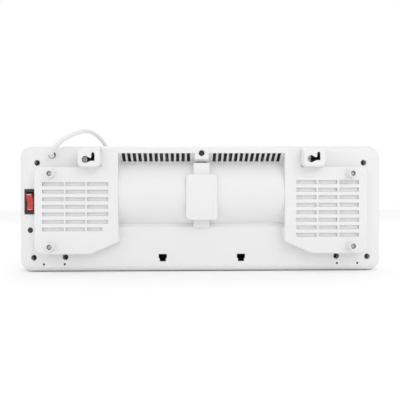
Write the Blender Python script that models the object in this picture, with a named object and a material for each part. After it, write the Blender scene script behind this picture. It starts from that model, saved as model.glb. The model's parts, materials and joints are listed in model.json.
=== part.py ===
"""Wall-mounted PTC fan heater, built as an assembly of separate parts.

Blender 4.5, metres, +Z up.  The heater stands upright on its base, the rear
(wall side) faces +Y and the warm air leaves at the front, toward -Y.
Every length written below is in millimetres; the helpers turn it into metres.
"""
import math

import bmesh
import bpy
from mathutils import Matrix, Vector

MM = 0.001

# Overall casing
WIDTH = 540.0
HEIGHT = 187.0
CORNER = 18.0
WALL = 2.5
MID_Z = HEIGHT / 2.0

# Depth levels, front to rear
FRONT_FACE = -55.5
SPLIT = -5.0
RIM = 26.0
BOX_FACE = 43.0
PAD_FACE = 60.0
GAP = 0.3

# Fan and its scroll housing
FAN_Y = 6.0
FAN_Z = 117.0
SCROLL_Y = -20.4
SCROLL_R = 61.6
RECESS_X = 122.0

# Hinge line of the outlet louver
LOUVER_Y = -54.4
LOUVER_Z = 59.4

# Rear fasteners, right half (x, z)
RIM_SCREWS = ((242.8, 161.3), (247.7, 21.2), (201.3, 22.0))
STANDOFFS = ((218.6, 144.2), (218.6, 38.8))
TOP_SCREW = (0.0, 174.6)

# Centre of the round entry of each hanging hole (x, z)
KEYHOLES = ((167.0, 164.4), (-157.6, 165.2))


# ---------------------------------------------------------------- helpers

def clear_scene():
    """Remove everything the startup file brings in."""
    for obj in list(bpy.data.objects):
        bpy.data.objects.remove(obj, do_unlink=True)


def new_collection(name):
    """Add a collection to the scene."""
    collection = bpy.data.collections.new(name)
    bpy.context.scene.collection.children.link(collection)
    return collection


def make_material(name, colour, roughness, metallic=0.0):
    """Plain Principled material."""
    material = bpy.data.materials.new(name)
    material.use_nodes = True
    shader = material.node_tree.nodes["Principled BSDF"]
    shader.inputs["Base Color"].default_value = (*colour, 1.0)
    shader.inputs["Roughness"].default_value = roughness
    shader.inputs["Metallic"].default_value = metallic
    material.diffuse_color = (*colour, 1.0)
    return material


def rounded(x0, x1, z0, z1, radius, steps=5):
    """Outline of a rounded rectangle, counter-clockwise in (x, z)."""
    corners = (
        (x1 - radius, z0 + radius, -90.0),
        (x1 - radius, z1 - radius, 0.0),
        (x0 + radius, z1 - radius, 90.0),
        (x0 + radius, z0 + radius, 180.0),
    )
    points = []
    for cx, cz, start in corners:
        for step in range(steps + 1):
            angle = math.radians(start + 90.0 * step / steps)
            points.append((cx + radius * math.cos(angle), cz + radius * math.sin(angle)))
    return points


def soften(points, radius, steps=3):
    """Round every corner of a polygon by replacing it with a short curve."""
    result = []
    count = len(points)
    for index, corner in enumerate(points):
        corner = Vector(corner)
        before = Vector(points[index - 1]) - corner
        after = Vector(points[(index + 1) % count]) - corner
        reach = min(radius, before.length * 0.45, after.length * 0.45)
        start = corner + before.normalized() * reach
        end = corner + after.normalized() * reach
        for step in range(steps + 1):
            t = step / steps
            point = start * (1 - t) ** 2 + corner * 2 * t * (1 - t) + end * t ** 2
            result.append((point.x, point.y))
    return result


def inset(points, distance):
    """Move a counter-clockwise outline inward by a distance."""
    result = []
    count = len(points)
    for index, point in enumerate(points):
        here = Vector(point)
        back = here - Vector(points[index - 1])
        ahead = Vector(points[(index + 1) % count]) - here
        normal_a = Vector((-back.y, back.x)).normalized()
        normal_b = Vector((-ahead.y, ahead.x)).normalized()
        shift = (normal_a + normal_b) / (1.0 + normal_a.dot(normal_b))
        moved = here + shift * distance
        result.append((moved.x, moved.y))
    return result


def mirrored(points):
    """Mirror an outline to the other side of x = 0, keeping its winding."""
    return [(-x, z) for x, z in reversed(points)]


def add_loft(bm, sections):
    """Closed solid through sections (y, outline in x and z) of equal length."""
    rings = []
    for y, outline in sections:
        rings.append([bm.verts.new((x * MM, y * MM, z * MM)) for x, z in outline])
    count = len(rings[0])
    for lower, upper in zip(rings, rings[1:]):
        for index in range(count):
            other = (index + 1) % count
            bm.faces.new((lower[index], lower[other], upper[other], upper[index]))
    bm.faces.new(rings[0])
    bm.faces.new(rings[-1])


def add_prism_x(bm, profile, x0, x1):
    """Extrude a closed (y, z) profile along x."""
    near = [bm.verts.new((x0 * MM, y * MM, z * MM)) for y, z in profile]
    far = [bm.verts.new((x1 * MM, y * MM, z * MM)) for y, z in profile]
    count = len(profile)
    for index in range(count):
        other = (index + 1) % count
        bm.faces.new((near[index], near[other], far[other], far[index]))
    bm.faces.new(near)
    bm.faces.new(far)


def add_box(bm, x0, x1, y0, y1, z0, z1):
    """Axis-aligned block."""
    centre = Vector((x0 + x1, y0 + y1, z0 + z1)) * 0.5 * MM
    size = Vector((x1 - x0, y1 - y0, z1 - z0)) * MM
    matrix = Matrix.Translation(centre) @ Matrix.Diagonal((*size, 1.0))
    bmesh.ops.create_cube(bm, size=1.0, matrix=matrix)


def axis_matrix(centre, axis):
    """Place local z along an axis at a centre given in millimetres."""
    rotation = Vector((0, 0, 1)).rotation_difference(Vector(axis).normalized())
    return Matrix.Translation(Vector(centre) * MM) @ rotation.to_matrix().to_4x4()


def add_cylinder(bm, centre, axis, radius, length, segments=16, end_radius=None):
    """Cylinder or cone centred on a point."""
    end_radius = radius if end_radius is None else end_radius
    bmesh.ops.create_cone(
        bm,
        cap_ends=True,
        segments=segments,
        radius1=radius * MM,
        radius2=end_radius * MM,
        depth=length * MM,
        matrix=axis_matrix(centre, axis),
    )


def add_rod_y(bm, x, z, radius, y0, y1, segments=16, end_radius=None):
    """Cylinder along y from y0 to y1; end_radius is the radius at y1."""
    add_cylinder(bm, (x, (y0 + y1) / 2, z), (0, 1, 0), radius, y1 - y0, segments, end_radius)


def add_rod_x(bm, y, z, radius, x0, x1, segments=16):
    """Cylinder along x from x0 to x1."""
    add_cylinder(bm, ((x0 + x1) / 2, y, z), (1, 0, 0), radius, x1 - x0, segments)


def finish(bm, name, collection, material=None, origin=(0.0, 0.0, 0.0)):
    """Turn a bmesh into an object whose origin sits at a point."""
    bmesh.ops.recalc_face_normals(bm, faces=bm.faces[:])
    place = Vector(origin) * MM
    bmesh.ops.translate(bm, vec=-place, verts=bm.verts[:])
    mesh = bpy.data.meshes.new(name)
    bm.to_mesh(mesh)
    bm.free()
    obj = bpy.data.objects.new(name, mesh)
    obj.location = place
    collection.objects.link(obj)
    if material is not None:
        mesh.materials.append(material)
    return obj


class Kit:
    """Collections and materials shared by the builders."""

    def __init__(self):
        self.parts = new_collection("ptc_wall_heater")
        self.cutters = new_collection("cutters")
        self.white = make_material("casing_white", (0.86, 0.86, 0.85), 0.38)
        self.gloss = make_material("fascia_white", (0.88, 0.88, 0.88), 0.15)
        self.inner = make_material("duct_grey", (0.55, 0.56, 0.57), 0.5)
        self.black = make_material("black_plastic", (0.02, 0.02, 0.022), 0.4)
        self.window = make_material("window_black", (0.01, 0.01, 0.012), 0.08)
        self.red = make_material("rocker_red", (0.62, 0.03, 0.03), 0.25)
        self.screw = make_material("screw_steel", (0.16, 0.16, 0.17), 0.4, 1.0)
        self.steel = make_material("bright_steel", (0.6, 0.6, 0.62), 0.3, 1.0)
        self.alloy = make_material("fin_aluminium", (0.72, 0.72, 0.73), 0.35, 1.0)
        self.brass = make_material("pin_brass", (0.75, 0.6, 0.3), 0.3, 1.0)
        self.board = make_material("board_green", (0.03, 0.2, 0.07), 0.5)
        self.rubber = make_material("rubber_black", (0.03, 0.03, 0.03), 0.8)
        self.copper = make_material("winding_copper", (0.6, 0.25, 0.12), 0.35, 1.0)
        self.cable = make_material("cable_white", (0.83, 0.83, 0.82), 0.45)
        self.filter = make_material("filter_grey", (0.6, 0.61, 0.61), 0.8)

    def part(self, bm, name, material, origin=(0.0, 0.0, 0.0)):
        """Finish a visible part."""
        return finish(bm, name, self.parts, material, origin)

    def helper(self, bm, name):
        """Finish a shape that only serves Boolean modifiers."""
        obj = finish(bm, name, self.cutters)
        obj.hide_render = True
        obj.display_type = "WIRE"
        return obj


def boolean(target, tool, operation, solver="EXACT"):
    """Add a Boolean modifier."""
    modifier = target.modifiers.new(tool.name, "BOOLEAN")
    modifier.operation = operation
    modifier.solver = solver
    modifier.object = tool
    return modifier


# ------------------------------------------------------------ rear casing

def scroll_arc(radius, z_start, z_end, steps=14):
    """Points (y, z) on the rear face of the fan scroll."""
    start = math.asin((z_start - FAN_Z) / radius)
    end = math.asin((z_end - FAN_Z) / radius)
    points = []
    for step in range(steps + 1):
        angle = start + (end - start) * step / steps
        points.append((SCROLL_Y + radius * math.cos(angle), FAN_Z + radius * math.sin(angle)))
    return points


def recess_profile(wall):
    """(y, z) outline of the open space behind the middle of the casing."""
    top = 175.4 + wall
    face = 100.0
    points = [(face, top), (BOX_FACE + 1.0 - wall * 0.4, top), (20.6 - wall, 164.2 + wall * 0.3)]
    points += scroll_arc(SCROLL_R - wall, 162.0, 71.0)
    points += [(RIM - wall, 66.0 + wall * 0.2), (RIM + 1.5, 66.0), (face, 66.0)]
    return points


def side_box_outline(distance):
    """Raised intake box on the right half, every side moved inward."""
    corners = (
        (RECESS_X - 2.3, 44.0),
        (162.0, 25.5),
        (245.0, 25.5),
        (245.0, 156.2),
        (148.0, 156.2),
        (148.0, 184.6),
        (RECESS_X - 2.3, 184.6),
    )
    radii = (2.0, 6.0, 16.0, 12.0, 3.0, 2.0, 2.0)
    corners = inset(corners, distance)
    points = []
    for index, radius in enumerate(radii):
        soft = soften(corners, max(radius - distance, 0.6), 3)
        points += soft[index * 4:index * 4 + 4]
    return points


def shrunk(x0, x1, z0, z1, radius, distance, steps=3):
    """Rounded rectangle with every side moved inward."""
    return rounded(x0 + distance, x1 - distance, z0 + distance, z1 - distance,
                   max(radius - distance, 0.6), steps)


def add_rear_volume(kit, name, wall):
    """Rear casing as a solid block, every skin moved inward by wall."""
    bm = bmesh.new()
    front = SPLIT - (10.0 if wall else 0.0)
    levels = ((front, 0.0, 0.0), (13.0, 0.0, 0.0), (17.0, 1.5, 0.6), (21.5, 6.5, 2.2), (24.4, 13.0, 4.8), (RIM, 21.0, 8.5))
    sections = []
    for y, dx, dz in levels:
        half = WIDTH / 2 - dx - wall
        radius = CORNER - wall - 0.35 * dz
        outline = rounded(-half, half, dz + wall, HEIGHT - dz - wall, radius)
        sections.append((y - (wall if y > 0 else 0.0), outline))
    add_loft(bm, sections)
    if wall:
        body = kit.helper(bm, name)
    else:
        body = kit.part(bm, name, kit.white)

    bm = bmesh.new()
    steps = ((4.0, 0.0), (RIM - 4.0, 0.0), (RIM + 2.0, 0.5), (39.5, 1.2), (42.2, 2.0), (BOX_FACE, 3.4))
    lofted = [(y - (wall if y > 5 else 0.0), side_box_outline(wall + d)) for y, d in steps]
    add_loft(bm, lofted)
    add_loft(bm, [(y, mirrored(outline)) for y, outline in lofted])
    boolean(body, kit.helper(bm, name + "_boxes"), "UNION")

    bm = bmesh.new()
    steps = ((4.4, 0.0), (39.5, 0.8), (42.2, 2.0), (BOX_FACE - 0.05, 4.2))
    lofted = []
    for y, d in steps:
        top = 184.5 - wall - d
        outline = [(-RECESS_X - 4.0, 72.0), (RECESS_X + 4.0, 72.0), (RECESS_X + 4.0, top), (-RECESS_X - 4.0, top)]
        lofted.append((y - (wall if y > 5 else 0.0), outline))
    add_loft(bm, lofted)
    boolean(body, kit.helper(bm, name + "_middle"), "UNION")

    bm = bmesh.new()
    add_prism_x(bm, recess_profile(wall), -RECESS_X - wall, RECESS_X + wall)
    boolean(body, kit.helper(bm, name + "_recess"), "DIFFERENCE")

    bm = bmesh.new()
    for x0, x1, z0 in ((145.2, 179.5, 152.4), (-180.4, -145.0, 153.0)):
        steps = ((8.0, 0.0), (BOX_FACE + 3.0, 0.2), (57.2, 1.1), (59.2, 1.7), (PAD_FACE, 3.0))
        lofted = [(y - (wall if y > 9 else 0.4), shrunk(x0, x1, z0, 182.4, 8.0, wall + d)) for y, d in steps]
        add_loft(bm, lofted)
    boolean(body, kit.helper(bm, name + "_pads"), "UNION")
    return body


def both_sides(points):
    """Repeat (x, z) positions on the left half."""
    return [(sign * x, z) for x, z in points for sign in (1.0, -1.0)]


def add_screw_posts(kit):
    """Columns that carry the casing screws, inside the rear shell."""
    bm = bmesh.new()
    for x, z in both_sides(RIM_SCREWS):
        add_rod_y(bm, x, z, 5.7, -2.0, RIM - 1.2, 14)
    return kit.helper(bm, "rim_posts")


def add_standoff_posts(kit):
    """Raised feet that keep the intake grilles off the wall."""
    bm = bmesh.new()
    for x, z in both_sides(STANDOFFS):
        add_rod_y(bm, x, z, 9.6, 12.0, PAD_FACE, 18, 5.3)
    return kit.helper(bm, "standoff_posts")


def grille_slots():
    """(x0, x1, z0, z1) of every slot in the two side grilles."""
    slots = []
    for row in range(7):
        z = 129.4 - 10.97 * row
        slots.append((200.8, 231.8, z - 2.75, z + 2.75))
        slots.append((169.7, 198.1, z - 2.75, z + 2.75))
        inner = 136.4 if row < 6 else 144.8
        slots.append((inner, 166.9, z - 2.75, z + 2.75))
    for row in range(8):
        z = 131.8 - 11.04 * row
        slots.append((-168.4, -138.7, z - 2.85, z + 2.85))
        slots.append((-199.2, -171.3, z - 2.85, z + 2.85))
        slots.append((-231.0, -202.2, z - 2.85, z + 2.85))
    return slots


def add_grille_cutter(kit):
    """All rectangular slots of the side grilles."""
    bm = bmesh.new()
    for x0, x1, z0, z1 in grille_slots():
        add_box(bm, x0, x1, BOX_FACE - 6.0, BOX_FACE + 4.0, z0, z1)
    return kit.helper(bm, "grille_cutter")


def add_inlet_cutter(kit):
    """Fan inlet slots in the sloping wall above the scroll."""
    bm = bmesh.new()
    for side in (1.0, -1.0):
        for index in range(13):
            x = side * (19.2 + 7.95 * index)
            add_box(bm, x - 2.5, x + 2.5, 10.0, BOX_FACE + 2.0, 163.6, 174.6)
    return kit.helper(bm, "inlet_cutter")


def add_keyholes(kit):
    """Hanging holes: round entry, sideways channel and upright slot."""
    tools = []
    bm = bmesh.new()
    for x, z in KEYHOLES:
        add_rod_y(bm, x, z, 5.2, PAD_FACE - 8.0, PAD_FACE + 4.0, 22)
    tools.append(kit.helper(bm, "keyhole_entries"))
    bm = bmesh.new()
    for x, z in KEYHOLES:
        y0, y1 = PAD_FACE - 8.1, PAD_FACE + 4.1
        add_prism_y(bm, (
            (x - 13.2, z - 2.1),
            (x - 7.6, z - 2.1),
            (x - 3.0, z - 4.0),
            (x, z - 3.0),
            (x, z + 3.0),
            (x - 3.0, z + 4.0),
            (x - 7.0, z + 2.1),
            (x - 8.5, z + 2.8),
            (x - 8.5, z + 8.0),
            (x - 9.3, z + 9.6),
            (x - 10.85, z + 10.3),
            (x - 12.4, z + 9.6),
            (x - 13.2, z + 8.0),
        ), y0, y1)
    tools.append(kit.helper(bm, "keyhole_slots"))
    return tools


def add_prism_y(bm, outline, y0, y1):
    """Extrude an (x, z) outline along y."""
    add_loft(bm, [(y0, outline), (y1, outline)])


def add_rear_holes(kit):
    """Screw recesses, latch holes, drain holes and the cord hole."""
    bm = bmesh.new()
    for x, z in both_sides(RIM_SCREWS):
        add_rod_y(bm, x, z, 4.4, 10.0, RIM + 4.0, 16)
    for x, z in both_sides(STANDOFFS):
        add_rod_y(bm, x, z, 3.9, 54.0, PAD_FACE + 4.0, 16)
    add_rod_y(bm, TOP_SCREW[0], TOP_SCREW[1], 4.4, 32.0, BOX_FACE + 4.0, 16)
    for x in (57.6, -58.6):
        add_prism_y(bm, (
            (x - 4.6, 15.0),
            (x + 4.6, 15.0),
            (x + 4.6, 19.7),
            (x + 6.1, 19.7),
            (x + 6.1, 26.0),
            (x - 6.1, 26.0),
            (x - 6.1, 19.7),
            (x - 4.6, 19.7),
        ), 15.0, RIM + 4.0)
    for x, z in both_sides(((233.0, 11.4), (202.3, 11.4))):
        add_rod_y(bm, x, z, 1.6, 8.0, RIM + 4.0, 10)
    add_rod_y(bm, CORD_EXIT[0], CORD_EXIT[1] + 1.2, 5.3, 15.0, RIM + 4.0, 18)
    return kit.helper(bm, "rear_holes")


def add_pilot_cutter(kit, name, y0, y1, radius):
    """Clearance for the screw shanks."""
    bm = bmesh.new()
    for x, z in both_sides(RIM_SCREWS):
        add_rod_y(bm, x, z, radius, y0, y1, 10)
    return kit.helper(bm, name)


# Where the cord leaves the rear shell (x, z)
CORD_EXIT = (220.6, 171.6)

# The rocker sits on the drooping outer edge of the rear shell
ROCKER = (252.4, 24.2, 104.0)
BUTTON = (252.8, 24.7, 61.9)
EDGE_TILT = math.radians(19.0)
EDGE_AXIS = Vector((math.sin(EDGE_TILT), math.cos(EDGE_TILT), 0.0))


def edge_frame(centre):
    """Local frame on the drooping edge: x across, y up, z outward."""
    outward = EDGE_AXIS
    upward = Vector((0.0, 0.0, 1.0))
    across = upward.cross(outward)
    rotation = Matrix((across, upward, outward)).transposed().to_4x4()
    return Matrix.Translation(Vector(centre) * MM) @ rotation


def add_edge_box(bm, centre, width, height, low, high):
    """Block standing on the drooping edge, low and high along its normal."""
    matrix = edge_frame(centre)
    matrix = matrix @ Matrix.Translation(Vector((0.0, 0.0, (low + high) / 2)) * MM)
    size = Vector((width, height, high - low)) * MM
    bmesh.ops.create_cube(bm, size=1.0, matrix=matrix @ Matrix.Diagonal((*size, 1.0)))


def add_edge_rod(bm, centre, radius, low, high, segments=18):
    """Round pin standing on the drooping edge."""
    matrix = edge_frame(centre)
    matrix = matrix @ Matrix.Translation(Vector((0.0, 0.0, (low + high) / 2)) * MM)
    bmesh.ops.create_cone(
        bm,
        cap_ends=True,
        segments=segments,
        radius1=radius * MM,
        radius2=radius * MM,
        depth=(high - low) * MM,
        matrix=matrix,
    )


def build_rear_shell(kit):
    """Rear casing with grilles, scroll, hanging pads and screw recesses."""
    shell = add_rear_volume(kit, "rear_shell", 0.0)
    cavity = add_rear_volume(kit, "rear_cavity", WALL)
    boolean(shell, cavity, "DIFFERENCE")
    boolean(shell, add_screw_posts(kit), "UNION")
    boolean(shell, add_standoff_posts(kit), "UNION")

    bm = bmesh.new()
    add_prism_x(bm, ((18.0, 162.4), (18.0, 181.0), (BOX_FACE - 0.6, 181.0), (BOX_FACE - 0.6, 166.4),
                     (34.0, 162.4)), -10.2, 10.2)
    boolean(shell, kit.helper(bm, "top_boss"), "UNION")

    boolean(shell, add_grille_cutter(kit), "DIFFERENCE")
    boolean(shell, add_inlet_cutter(kit), "DIFFERENCE")
    for tool in add_keyholes(kit):
        boolean(shell, tool, "DIFFERENCE")
    boolean(shell, add_rear_holes(kit), "DIFFERENCE")
    boolean(shell, add_pilot_cutter(kit, "rear_pilots", -4.0, 12.0, 1.9), "DIFFERENCE")

    bm = bmesh.new()
    for x, z in both_sides(STANDOFFS):
        add_rod_y(bm, x, z, 1.9, 8.0, 56.0, 10)
    add_rod_y(bm, TOP_SCREW[0], TOP_SCREW[1], 1.9, 12.0, 34.0, 10)
    add_edge_box(bm, ROCKER, 14.8, 32.2, -14.0, 8.0)
    add_edge_rod(bm, BUTTON, 4.2, -9.0, 8.0)
    add_box(bm, -21.5, 21.5, 15.0, 70.0, 82.0, 139.0)
    boolean(shell, kit.helper(bm, "rear_windows"), "DIFFERENCE")

    bm = bmesh.new()
    add_edge_box(bm, ROCKER, 19.4, 37.6, -0.3, 9.0)
    boolean(shell, kit.helper(bm, "rocker_seat"), "DIFFERENCE")
    return shell


# ----------------------------------------------------------- front casing

def add_front_volume(kit, name, wall):
    """Front casing as a solid block, every skin moved inward by wall."""
    bm = bmesh.new()
    outline = rounded(-WIDTH / 2, WIDTH / 2, 0.0, HEIGHT, CORNER)
    rear = SPLIT - GAP + (10.0 if wall else 0.0)
    steps = ((rear, 0.0), (-44.0, 0.0), (-50.0, 1.6), (-54.2, 5.2), (FRONT_FACE, 9.5))
    add_loft(bm, [(y + (wall if y < -10 else 0.0), inset(outline, wall + d)) for y, d in steps])
    if wall:
        return kit.helper(bm, name)
    return kit.part(bm, name, kit.white)


def build_front_shell(kit):
    """Front casing with the outlet mouth and the louver lugs."""
    shell = add_front_volume(kit, "front_shell", 0.0)
    boolean(shell, add_front_volume(kit, "front_cavity", WALL), "DIFFERENCE")

    bm = bmesh.new()
    for x, z in both_sides(RIM_SCREWS):
        add_rod_y(bm, x, z, 4.6, FRONT_FACE + 1.5, SPLIT + 2.4, 14)
    boolean(shell, kit.helper(bm, "front_posts"), "UNION")
    boolean(shell, add_pilot_cutter(kit, "front_pilots", -30.0, SPLIT + 8.0, 1.9), "DIFFERENCE")

    bm = bmesh.new()
    for side in (1.0, -1.0):
        x0, x1 = sorted((side * 129.5, side * 133.5))
        add_box(bm, x0, x1, FRONT_FACE + 1.0, LOUVER_Y + 5.0, LOUVER_Z - 6.0, LOUVER_Z + 6.0)
    boolean(shell, kit.helper(bm, "louver_lugs"), "UNION")

    bm = bmesh.new()
    outline = rounded(-128.5, 128.5, 13.5, 62.4, 2.5, 2)
    add_prism_y(bm, outline, FRONT_FACE - 6.0, FRONT_FACE + 5.0)
    add_box(bm, -20.0, 20.0, FRONT_FACE - 4.0, FRONT_FACE + 5.0, 118.0, 132.0)
    boolean(shell, kit.helper(bm, "front_mouth"), "DIFFERENCE")

    bm = bmesh.new()
    add_rod_x(bm, LOUVER_Y, LOUVER_Z, 1.9, -140.0, 140.0, 12)
    boolean(shell, kit.helper(bm, "louver_bore"), "DIFFERENCE")
    return shell


def build_front_trim(kit):
    """Glossy fascia with its display window."""
    bm = bmesh.new()
    outline = rounded(-258.0, 258.0, 68.0, 175.0, 10.0)
    y = FRONT_FACE - GAP
    steps = ((y, 0.0), (y - 2.6, 0.0), (y - 3.8, 1.0), (y - 4.2, 2.8))
    add_loft(bm, [(level, inset(outline, d)) for level, d in steps])
    fascia = kit.part(bm, "front_fascia", kit.gloss)
    bm = bmesh.new()
    add_prism_y(bm, rounded(-34.3, 34.3, 111.7, 138.3, 4.3, 3), y - 8.0, y - 1.6)
    boolean(fascia, kit.helper(bm, "window_seat"), "DIFFERENCE")
    bm = bmesh.new()
    add_box(bm, -20.0, 20.0, y - 4.0, y + 2.0, 118.0, 132.0)
    boolean(fascia, kit.helper(bm, "digit_window"), "DIFFERENCE")

    bm = bmesh.new()
    add_prism_y(bm, rounded(-34.0, 34.0, 112.0, 138.0, 4.0, 3), y - 4.2, y - 1.9)
    kit.part(bm, "display_window", kit.window)


def build_louver(kit):
    """Outlet flap hanging from pins at its upper edge."""
    bm = bmesh.new()
    profile = []
    for step in range(7):
        t = step / 6
        profile.append((LOUVER_Y - 1.4 - 2.6 * math.sin(math.pi * t), LOUVER_Z + 1.0 - 44.2 * t))
    for step in range(7):
        t = 1 - step / 6
        profile.append((LOUVER_Y + 1.2 - 2.6 * math.sin(math.pi * t), LOUVER_Z + 1.0 - 44.2 * t))
    add_prism_x(bm, profile, -127.6, 127.6)
    louver = kit.part(bm, "louver", kit.white, (0.0, LOUVER_Y, LOUVER_Z))
    bm = bmesh.new()
    add_rod_x(bm, 0.0, 0.0, 1.5, -137.0, 137.0, 12)
    pins = kit.helper(bm, "louver_pins")
    pins.location = louver.location
    boolean(louver, pins, "UNION")


# ------------------------------------------------------- fan and heating

def add_prism_z(bm, outline, z0, z1):
    """Extrude an (x, y) outline along z."""
    low = [bm.verts.new((x * MM, y * MM, z0 * MM)) for x, y in outline]
    high = [bm.verts.new((x * MM, y * MM, z1 * MM)) for x, y in outline]
    count = len(outline)
    for index in range(count):
        other = (index + 1) % count
        bm.faces.new((low[index], low[other], high[other], high[index]))
    bm.faces.new(low)
    bm.faces.new(high)


def blade_profile(angle):
    """(y, z) outline of one curved fan blade."""
    inner, outer, thick = 20.5, 26.5, 0.55
    near, far = [], []
    for step in range(4):
        t = step / 3
        radius = inner + (outer - inner) * t
        sweep = angle + 0.16 * t * t
        y, z = math.cos(sweep), math.sin(sweep)
        near.append((FAN_Y + radius * y + thick * z, FAN_Z + radius * z - thick * y))
        far.append((FAN_Y + radius * y - thick * z, FAN_Z + radius * z + thick * y))
    return near + far[::-1]


def build_fan_wheel(kit, name, side):
    """Crossflow wheel: two end discs, a middle ring and curved blades."""
    x0, x1 = sorted((side * 25.0, side * 114.0))
    bm = bmesh.new()
    for x in (x0, x1 - 1.6):
        add_rod_x(bm, FAN_Y, FAN_Z, 27.2, x, x + 1.6, 32)
    wheel = kit.part(bm, name, kit.inner, (side * 69.5, FAN_Y, FAN_Z))
    bm = bmesh.new()
    for index in range(16):
        add_prism_x(bm, blade_profile(math.tau * index / 16), x0 + 0.8, x1 - 0.8)
    boolean(wheel, kit.helper(bm, name + "_blades"), "UNION")
    bm = bmesh.new()
    add_rod_x(bm, FAN_Y, FAN_Z, 2.8, x0 - 5.0, x1 + 5.0, 14)
    boolean(wheel, kit.helper(bm, name + "_bore"), "DIFFERENCE")


def build_motor(kit):
    """Double-shaft fan motor between the two wheels."""
    origin = (0.0, FAN_Y, FAN_Z)
    bm = bmesh.new()
    add_rod_x(bm, FAN_Y, FAN_Z, 2.5, -122.5, 122.5, 14)
    kit.part(bm, "fan_shaft", kit.steel, origin)

    bm = bmesh.new()
    add_rod_x(bm, FAN_Y, FAN_Z, 24.5, -18.0, 18.0, 28)
    housing = kit.part(bm, "motor_housing", kit.steel, origin)
    bm = bmesh.new()
    add_rod_x(bm, FAN_Y, FAN_Z, 23.0, -16.5, 16.5, 28)
    boolean(housing, kit.helper(bm, "motor_hollow"), "DIFFERENCE")
    bm = bmesh.new()
    add_rod_x(bm, FAN_Y, FAN_Z, 4.5, -24.0, 24.0, 14)
    boolean(housing, kit.helper(bm, "motor_bore"), "DIFFERENCE")

    bm = bmesh.new()
    add_rod_x(bm, FAN_Y, FAN_Z, 22.7, -8.0, 8.0, 28)
    stator = kit.part(bm, "motor_stator", kit.screw, origin)
    bm = bmesh.new()
    add_rod_x(bm, FAN_Y, FAN_Z, 12.8, -12.0, 12.0, 24)
    boolean(stator, kit.helper(bm, "stator_bore"), "DIFFERENCE")

    for name, x0 in (("winding_left", 8.3), ("winding_right", -12.3)):
        bm = bmesh.new()
        add_rod_x(bm, FAN_Y, FAN_Z, 21.0, x0, x0 + 4.0, 24)
        winding = kit.part(bm, name, kit.copper, (x0 + 2.0, FAN_Y, FAN_Z))
        bm = bmesh.new()
        add_rod_x(bm, FAN_Y, FAN_Z, 14.0, x0 - 3.0, x0 + 7.0, 24)
        boolean(winding, kit.helper(bm, name + "_bore"), "DIFFERENCE")

    bm = bmesh.new()
    add_rod_x(bm, FAN_Y, FAN_Z, 12.3, -9.0, 9.0, 24)
    rotor = kit.part(bm, "motor_rotor", kit.steel, origin)
    bm = bmesh.new()
    add_rod_x(bm, FAN_Y, FAN_Z, 2.8, -14.0, 14.0, 14)
    boolean(rotor, kit.helper(bm, "rotor_bore"), "DIFFERENCE")

    for name, x in (("bearing_left", 119.4), ("bearing_right", -119.4)):
        bm = bmesh.new()
        add_rod_x(bm, FAN_Y, FAN_Z, 7.7, x - 1.8, x + 1.8, 18)
        bearing = kit.part(bm, name, kit.rubber, (x, FAN_Y, FAN_Z))
        bm = bmesh.new()
        add_rod_x(bm, FAN_Y, FAN_Z, 2.8, x - 5.0, x + 5.0, 14)
        boolean(bearing, kit.helper(bm, name + "_bore"), "DIFFERENCE")


def build_motor_cover(kit):
    """Cap over the motor opening, with its neck and lower tab."""
    bm = bmesh.new()
    outline = rounded(-23.2, 23.2, 76.6, 144.0, 6.0, 4)
    steps = ((41.8, 0.0), (43.6, 0.0), (45.0, 0.7), (45.6, 2.2))
    lofted = [(y, inset(outline, d)) for y, d in steps]
    add_loft(bm, [(28.0, inset(outline, -0.4))] + lofted)
    cover = kit.part(bm, "motor_cover", kit.white, (0.0, 40.0, 112.0))

    bm = bmesh.new()
    for z0, z1, y0, y1 in ((140.0, 160.6, 20.0, 40.0), (65.0, 80.0, 18.0, 30.5)):
        outline = rounded(-12.1, 12.1, z0, z1, 2.0, 2)
        add_loft(bm, [(y0, outline), (y1 - 1.2, outline), (y1, inset(outline, 1.2))])
    boolean(cover, kit.helper(bm, "cover_tabs"), "UNION")

    bm = bmesh.new()
    profile = [(-20.0, 30.0), (RIM + GAP, 30.0), (RIM + GAP, 66.4)]
    profile += scroll_arc(SCROLL_R + GAP, 71.6, 168.0, 20)
    profile += [(-20.0, 190.0)]
    add_prism_x(bm, profile, -40.0, 40.0)
    boolean(cover, kit.helper(bm, "cover_scroll"), "DIFFERENCE")

    bm = bmesh.new()
    outline = rounded(-21.6, 21.6, 82.0, 139.0, 4.0, 3)
    add_loft(bm, [(20.0, outline), (43.2, outline)])
    boolean(cover, kit.helper(bm, "cover_hollow"), "DIFFERENCE")


def duct_outline():
    """(y, z) outer outline of the blower duct side plates."""
    return [
        (-51.0, 11.5), (-28.0, 11.5), (10.0, 64.0), (26.5, 88.0), (33.5, 104.0), (35.5, 118.0),
        (33.0, 134.0), (25.0, 148.0), (10.0, 153.0), (-14.0, 150.0), (-28.0, 134.0),
        (-29.0, 100.0), (-33.0, 76.0), (-51.0, 64.5),
    ]


def duct_hollow():
    """(y, z) outline of the air passage, open at the mouth and the rear."""
    return [
        (-60.0, 13.4), (-29.0, 13.4), (8.0, 64.5), (20.0, 80.0), (60.0, 70.0), (60.0, 170.0),
        (-10.0, 170.0), (-12.0, 150.0), (-26.1, 133.4), (-27.1, 99.7), (-31.4, 74.2), (-49.5, 62.6),
        (-60.0, 62.6),
    ]


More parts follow.
